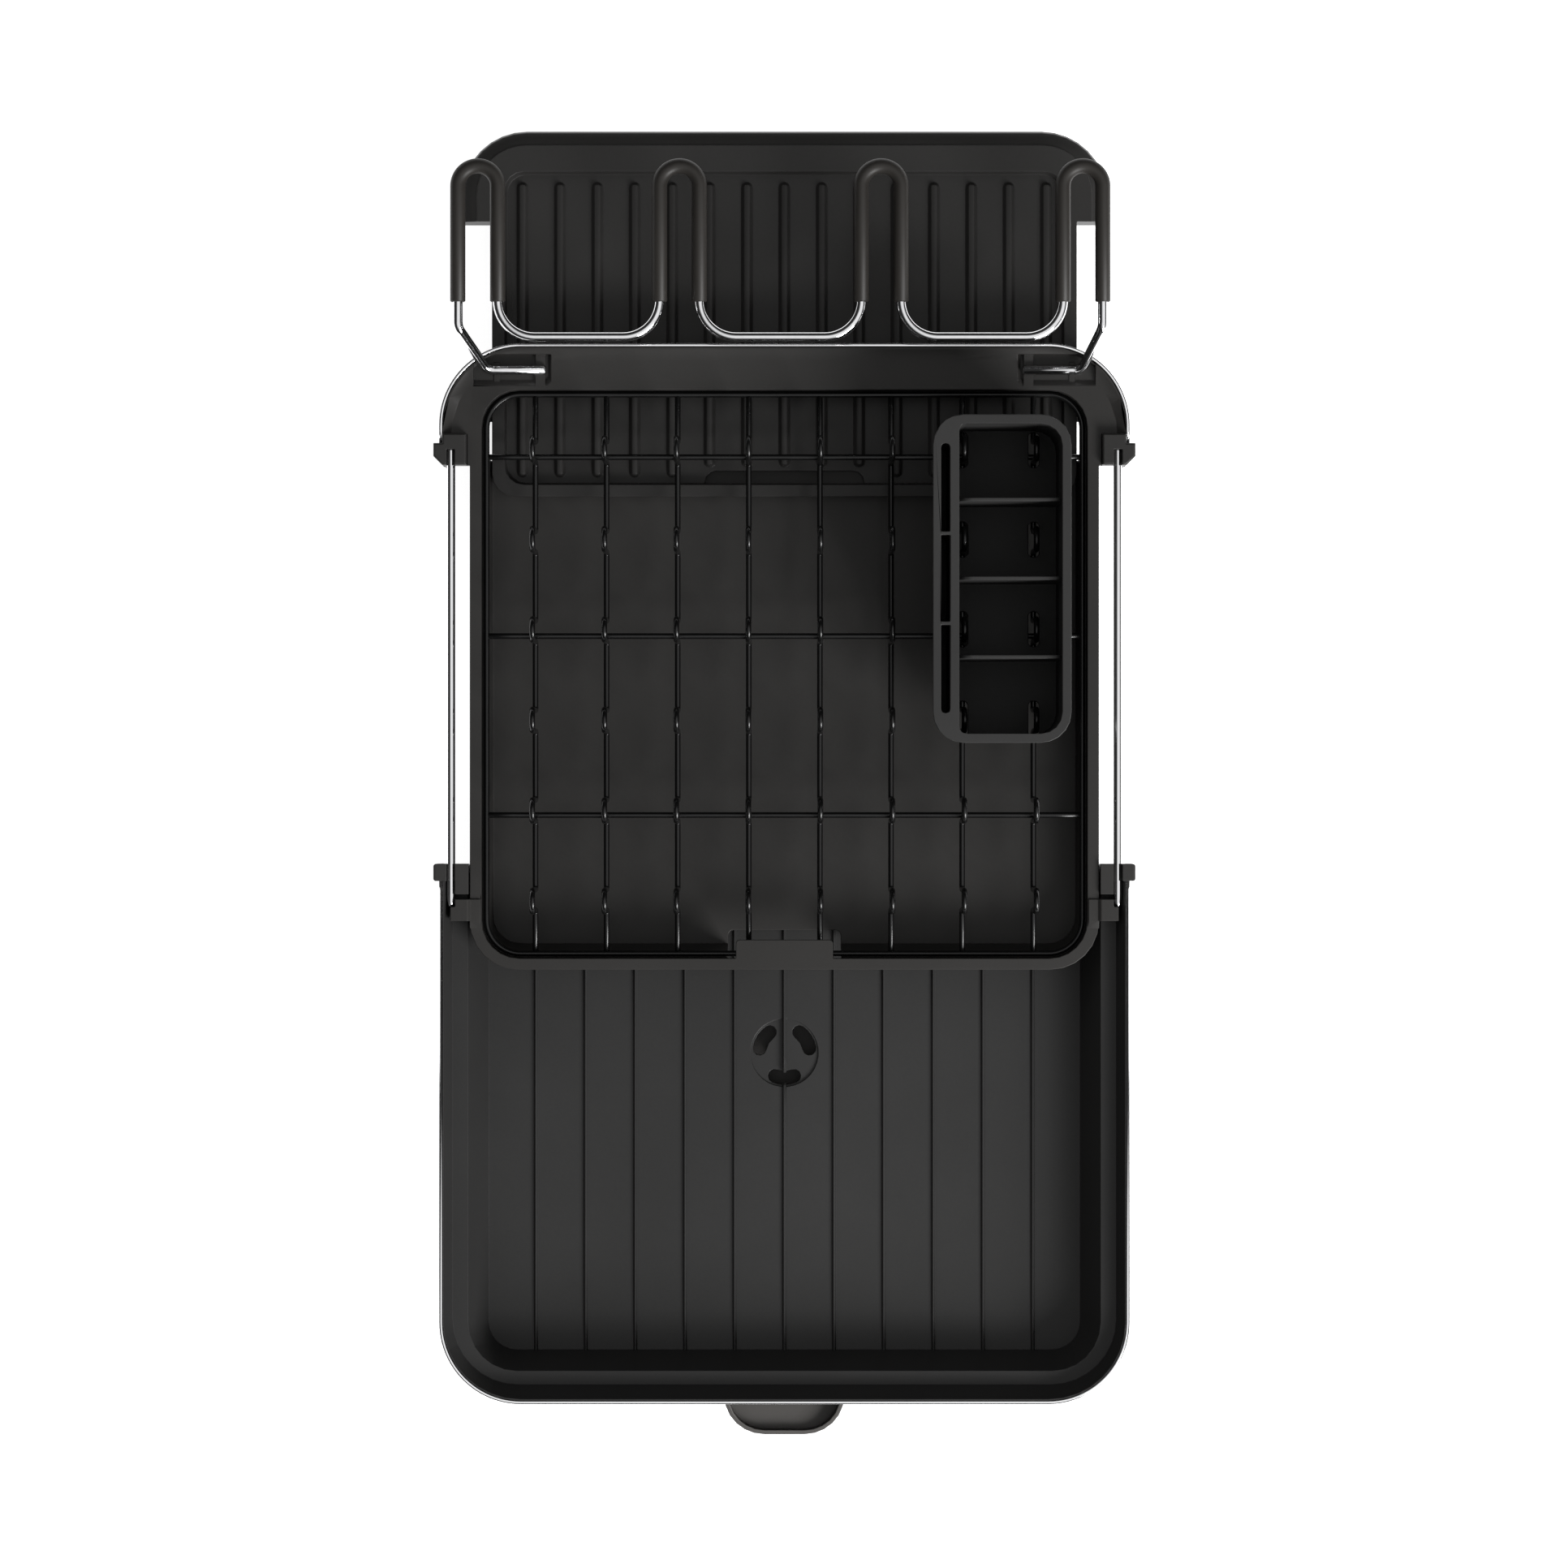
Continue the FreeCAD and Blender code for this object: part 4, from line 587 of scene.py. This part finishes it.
# Wire rack
rack = {"wireRadius": 1.5, "corner": 17.5, "tineWires": 8, "crossWires": 3, "tines": 6, "firstTine": 172.8,
        "tinePitch": 46.3, "tineHeight": 40.0, "spread": 10.7, "footBend": 2.0, "weldReach": 0.6,
        "rimSides": 18, "rimPerQuarter": 14, "wireSides": 14, "tinePerQuarter": 8, "crossPoints": 25}
rimLow, rimHigh = nodeBox("rack_rim_wire")
wireLevel = (rimLow[2] + rimHigh[2]) / 2
rimHalf = rimHigh[0] - rack["wireRadius"]
rimFront = rimLow[1] + rack["wireRadius"]
rimBack = rimHigh[1] - rack["wireRadius"]
weldReach = rack["wireRadius"] * rack["weldReach"]


def rimWire():
    # a closed rectangle with round corners
    corners = [(rimHalf, rimBack, wireLevel), (-rimHalf, rimBack, wireLevel),
               (-rimHalf, rimFront, wireLevel), (rimHalf, rimFront, wireLevel)]
    path = bentPath(corners, [rack["corner"]] * 4, closed=True, perQuarter=rack["rimPerQuarter"])
    piece = wire("rim_wire", path, rack["wireRadius"], (0, 0, 1), rack["rimSides"], closed=True)
    return place(piece, "wire_rack", wireCoating, "wire_coating", "rack_rim_wire")


def tineWire(number):
    # from the back of the rim to its front, up and over a half circle at each tine
    node = "rack_tine_wire_%d" % number
    low, high = nodeBox(node)
    x = (low[0] + high[0]) / 2
    legOut = rack["spread"] / 2
    top = wireLevel + rack["tineHeight"]
    corners = [(x, rimBack - weldReach, wireLevel)]
    radii = []
    for k in range(rack["tines"]):
        y = rack["firstTine"] - k * rack["tinePitch"]
        corners += [(x, y + legOut, wireLevel), (x, y + legOut, top),
                    (x, y - legOut, top), (x, y - legOut, wireLevel)]
        radii += [rack["footBend"], legOut, legOut, rack["footBend"]]
    corners.append((x, rimFront + weldReach, wireLevel))
    path = bentPath(corners, radii, perQuarter=rack["tinePerQuarter"])
    piece = wire("tine_wire_%d" % number, path, rack["wireRadius"], (1, 0, 0), rack["wireSides"])
    return place(piece, "wire_rack", wireCoating, "wire_coating", node)


def crossWire(number):
    # a straight wire between the two sides of the rim
    node = "rack_cross_wire_%d" % number
    low, high = nodeBox(node)
    y = (low[1] + high[1]) / 2
    reach = rimHalf - weldReach
    xs = np.linspace(-reach, reach, rack["crossPoints"])
    path = np.stack([xs, np.full_like(xs, y), np.full_like(xs, wireLevel)], axis=1)
    piece = wire("cross_wire_%d" % number, path, rack["wireRadius"], (0, 0, 1), rack["wireSides"])
    return place(piece, "wire_rack", wireCoating, "wire_coating", node)


rimWire()
for number in range(1, rack["tineWires"] + 1):
    tineWire(number)
for number in range(1, rack["crossWires"] + 1):
    crossWire(number)
print("wire rack made")


# Glass rail
rail = {"wireRadius": 2.5, "loops": 4, "pitch": 103.3, "centre": -2.1, "legGap": 20.4, "apex": 317.7,
        "turn": 230.2, "turnRadius": 18.7, "bend": 6.0, "elbow": 235.2, "level": 95.2,
        "pinY": 214.8, "pinLevel": 72.8, "pinOuter": 153.3, "pinInner": 122.8, "arcGap": 0.01,
        "sides": 20, "perQuarter": 14, "roundEnd": 0.45}
sleeve = {"radius": 3.9, "bore": 2.6, "end": 248.1, "ease": 0.5, "sides": 24, "perQuarter": 16}
loopHalf = rail["legGap"] / 2
loopRadius = loopHalf - rail["arcGap"]


def loopCentre(k):
    return rail["centre"] + (k - (rail["loops"] - 1) / 2) * rail["pitch"]


def railWire():
    # pin, slope up over the band, four loops and three wide turns, slope down, pin
    level = rail["level"]
    pinInner, pinOuter, pinY, pinLevel = (rail[key] for key in ("pinInner", "pinOuter", "pinY", "pinLevel"))
    first, last = loopCentre(0) - loopHalf, loopCentre(rail["loops"] - 1) + loopHalf
    corners = [(-pinInner, pinY, pinLevel), (-pinOuter, pinY, pinLevel), (first, rail["elbow"], level)]
    radii = [rail["bend"]] * 2
    for k in range(rail["loops"]):
        c = loopCentre(k)
        corners += [(c - loopHalf, rail["apex"], level), (c + loopHalf, rail["apex"], level)]
        radii += [loopRadius] * 2
        if k < rail["loops"] - 1:
            nextLeg = loopCentre(k + 1) - loopHalf
            corners += [(c + loopHalf, rail["turn"], level), (nextLeg, rail["turn"], level)]
            radii += [rail["turnRadius"]] * 2
    corners += [(last, rail["elbow"], level), (pinOuter, pinY, pinLevel), (pinInner, pinY, pinLevel)]
    radii += [rail["bend"]] * 2
    path = bentPath(corners, radii, perQuarter=rail["perQuarter"])
    piece = wire("rail_wire", path, rail["wireRadius"], (0, 0, 1), rail["sides"], roundEnd=rail["roundEnd"])
    return place(piece, "glass_rail", railChrome, "rail_chrome", "glass_rail_wire")


def railSleeve(k):
    # a tube pushed over one loop: circles along it for the outer skin and back again for the bore,
    # joined round both eased ends
    c = loopCentre(k)
    level = rail["level"]
    corners = [(c - loopHalf, sleeve["end"], level), (c - loopHalf, rail["apex"], level),
               (c + loopHalf, rail["apex"], level), (c + loopHalf, sleeve["end"], level)]
    path = bentPath(corners, [loopRadius] * 2, perQuarter=sleeve["perQuarter"])
    ease = np.array([[0, sleeve["ease"], 0]])
    path = np.concatenate([path[:1], path[:1] + ease, path[1:-1], path[-1:] + ease, path[-1:]])
    outer = np.full(len(path), sleeve["radius"])
    outer[[0, -1]] -= sleeve["ease"]
    skinOut = rings(path, outer, (0, 0, 1), sleeve["sides"])
    skinIn = rings(path, sleeve["bore"], (0, 0, 1), sleeve["sides"])
    piece = skin("sleeve_%d" % (k + 1), np.concatenate([skinOut, skinIn[::-1]]), True, True)
    return place(piece, "glass_rail", sleeveRubber, "sleeve_rubber", "rail_sleeve_%d" % (k + 1))


railWire()
for k in range(rail["loops"]):
    railSleeve(k)
print("glass rail made")


# Guide rods
rods = {"radius": 2.2, "tip": 7.0, "tipRadius": 1.0, "backEase": 0.3, "backNear": 0.1, "plainEnd": 4.0,
        "tipRings": 14, "middleRings": 6, "sides": 32}


def guideRod(side):
    # a round bar: the radius grows along the front tip like a quarter ellipse, and the back edge is eased
    node = "side_rod_" + side
    low, high = nodeBox(node)
    x, z = (low[0] + high[0]) / 2, (low[2] + high[2]) / 2
    share = np.linspace(0, 1, rods["tipRings"])
    swell = rods["tipRadius"] + (rods["radius"] - rods["tipRadius"]) * np.sqrt(1 - (1 - share) ** 2)
    middle = np.linspace(low[1] + rods["tip"] + rods["plainEnd"], high[1] - rods["plainEnd"],
                         rods["middleRings"])
    easeStart = high[1] - rods["backEase"]
    back = [easeStart - rods["backNear"], easeStart, high[1]]
    along = np.concatenate([low[1] + rods["tip"] * share, middle, back])
    radius = np.full(len(along), rods["radius"])
    radius[:rods["tipRings"]] = swell
    radius[-1] -= rods["backEase"]
    angle = np.arange(rods["sides"]) * 2 * np.pi / rods["sides"]
    grid = np.stack(np.broadcast_arrays(x + radius[:, None] * np.cos(angle), along[:, None],
                                        z + radius[:, None] * np.sin(angle)), axis=-1)
    piece = skin("guide_rod_" + side, grid, False, True, capEnds=True)
    return place(piece, "main_body", rodChrome, "rod_steel", node)


for side in ("left", "right"):
    guideRod(side)
print("rods made")


# Normals of the new pieces, studio and camera
def outwardNormals():
    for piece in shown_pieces():
        if "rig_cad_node" in piece or piece.name.endswith("_moulding"):
            continue
        work = bmesh.new()
        work.from_mesh(piece.data)
        bmesh.ops.recalc_face_normals(work, faces=work.faces)
        work.to_mesh(piece.data)
        work.free()


outwardNormals()

view = {"distance": 3000.0, "plane": 63.8, "x": -0.2, "y": 1.2, "frameWidth": 811.4, "sensor": 36.0,
        "clipEnd": 30.0}
studio = {"floorSize": 6.0, "floorColour": (0.82, 0.82, 0.82, 1), "floorRough": 0.9, "floorGlow": 0.8,
          "skyTop": 0.8, "skyLow": 0.02, "skyHigh": 0.46,
          "mirrorAxis": (0.35, -0.2, 0.92), "mirrorEdge": 0.66, "mirrorFull": 0.92,
          "mirrorLow": 0.03, "mirrorHigh": 1.0}
lamps = {"key": {"place": (1.3, -1.5, 1.35), "size": (1.15, 1.15), "power": 90.0, "mirrored": True},
         "fill": {"place": (-1.3, 0.9, 1.6), "size": (1.6, 1.6), "power": 4.0, "mirrored": False}}
lampTarget = (0, 0, 0.05)


def makeCamera():
    data = bpy.data.cameras.new("topCamera")
    camera = bpy.data.objects.new("topCamera", data)
    bpy.context.scene.collection.objects.link(camera)
    camera.location = (view["x"] * mm, view["y"] * mm, (view["plane"] + view["distance"]) * mm)
    camera.rotation_euler = (0, 0, 0)
    data.sensor_width = view["sensor"]
    data.lens = view["sensor"] * view["distance"] / view["frameWidth"]
    data.clip_end = view["clipEnd"]
    bpy.context.scene.camera = camera


def seenDirectly(tree):
    # 1 for the camera, for mirror reflections and for light through glass, 0 for every other ray
    light = tree.nodes.new("ShaderNodeLightPath")
    either = maths(tree, "MAXIMUM", light.outputs["Is Camera Ray"], light.outputs["Is Glossy Ray"])
    either = maths(tree, "MAXIMUM", either, light.outputs["Is Transmission Ray"])
    return light, either


def makeFloor():
    half = studio["floorSize"] / 2
    mesh = bpy.data.meshes.new("floor")
    corners = [(-half, -half, 0), (half, -half, 0), (half, half, 0), (-half, half, 0)]
    mesh.from_pydata(corners, [], [(0, 1, 2, 3)])
    floor = bpy.data.objects.new("floor", mesh)
    bpy.context.scene.collection.objects.link(floor)
    material = bpy.data.materials.new("floorWhite")
    material.use_nodes = True
    tree = material.node_tree
    shader = tree.nodes["Principled BSDF"]
    shader.inputs["Base Color"].default_value = studio["floorColour"]
    shader.inputs["Roughness"].default_value = studio["floorRough"]
    shader.inputs["Emission Color"].default_value = (1, 1, 1, 1)
    light, direct = seenDirectly(tree)
    glow = spread(tree, direct, 0.0, 1.0, 0.0, studio["floorGlow"])
    tree.links.new(glow, shader.inputs["Emission Strength"])
    mesh.materials.append(material)


def makeWorld():
    # a pale dome, brighter overhead, whose mirror image is a bright ceiling tilted to the right and the
    # front; white where the camera looks at it
    world = bpy.data.worlds.new("studioWorld")
    bpy.context.scene.world = world
    world.use_nodes = True
    tree = world.node_tree
    background = tree.nodes["Background"]
    background.inputs["Color"].default_value = (1, 1, 1, 1)
    direction = tree.nodes.new("ShaderNodeTexCoord").outputs["Generated"]
    split = addNode(tree, "ShaderNodeSeparateXYZ", {0: direction})
    light, direct = seenDirectly(tree)
    sky = spread(tree, split.outputs["Z"], 0.0, studio["skyTop"], studio["skyLow"], studio["skyHigh"])
    axis = Vector(studio["mirrorAxis"]).normalized()
    toward = addNode(tree, "ShaderNodeVectorMath", {0: direction, 1: axis}, operation="DOT_PRODUCT")
    mirrored = spread(tree, toward.outputs["Value"], studio["mirrorEdge"], studio["mirrorFull"],
                      studio["mirrorLow"], studio["mirrorHigh"])
    level = spread(tree, direct, 0.0, 1.0, sky, mirrored)
    level = spread(tree, light.outputs["Is Camera Ray"], 0.0, 1.0, level, 1.0)
    tree.links.new(level, background.inputs["Strength"])


def makeLamp(name, place, size, power, mirrored):
    # a rectangular soft box that faces the middle of the rack
    data = bpy.data.lights.new(name, "AREA")
    data.shape = "RECTANGLE"
    data.size, data.size_y = size
    data.energy = power
    lamp = bpy.data.objects.new(name, data)
    bpy.context.scene.collection.objects.link(lamp)
    lamp.location = place
    lamp.rotation_euler = (Vector(lampTarget) - Vector(place)).to_track_quat("-Z", "Y").to_euler()
    lamp.visible_camera = False
    lamp.visible_glossy = mirrored


makeCamera()
makeFloor()
makeWorld()
for label, values in lamps.items():
    makeLamp(label + "Lamp", **values)
bpy.context.scene.view_settings.view_transform = "Standard"
print("studio made")
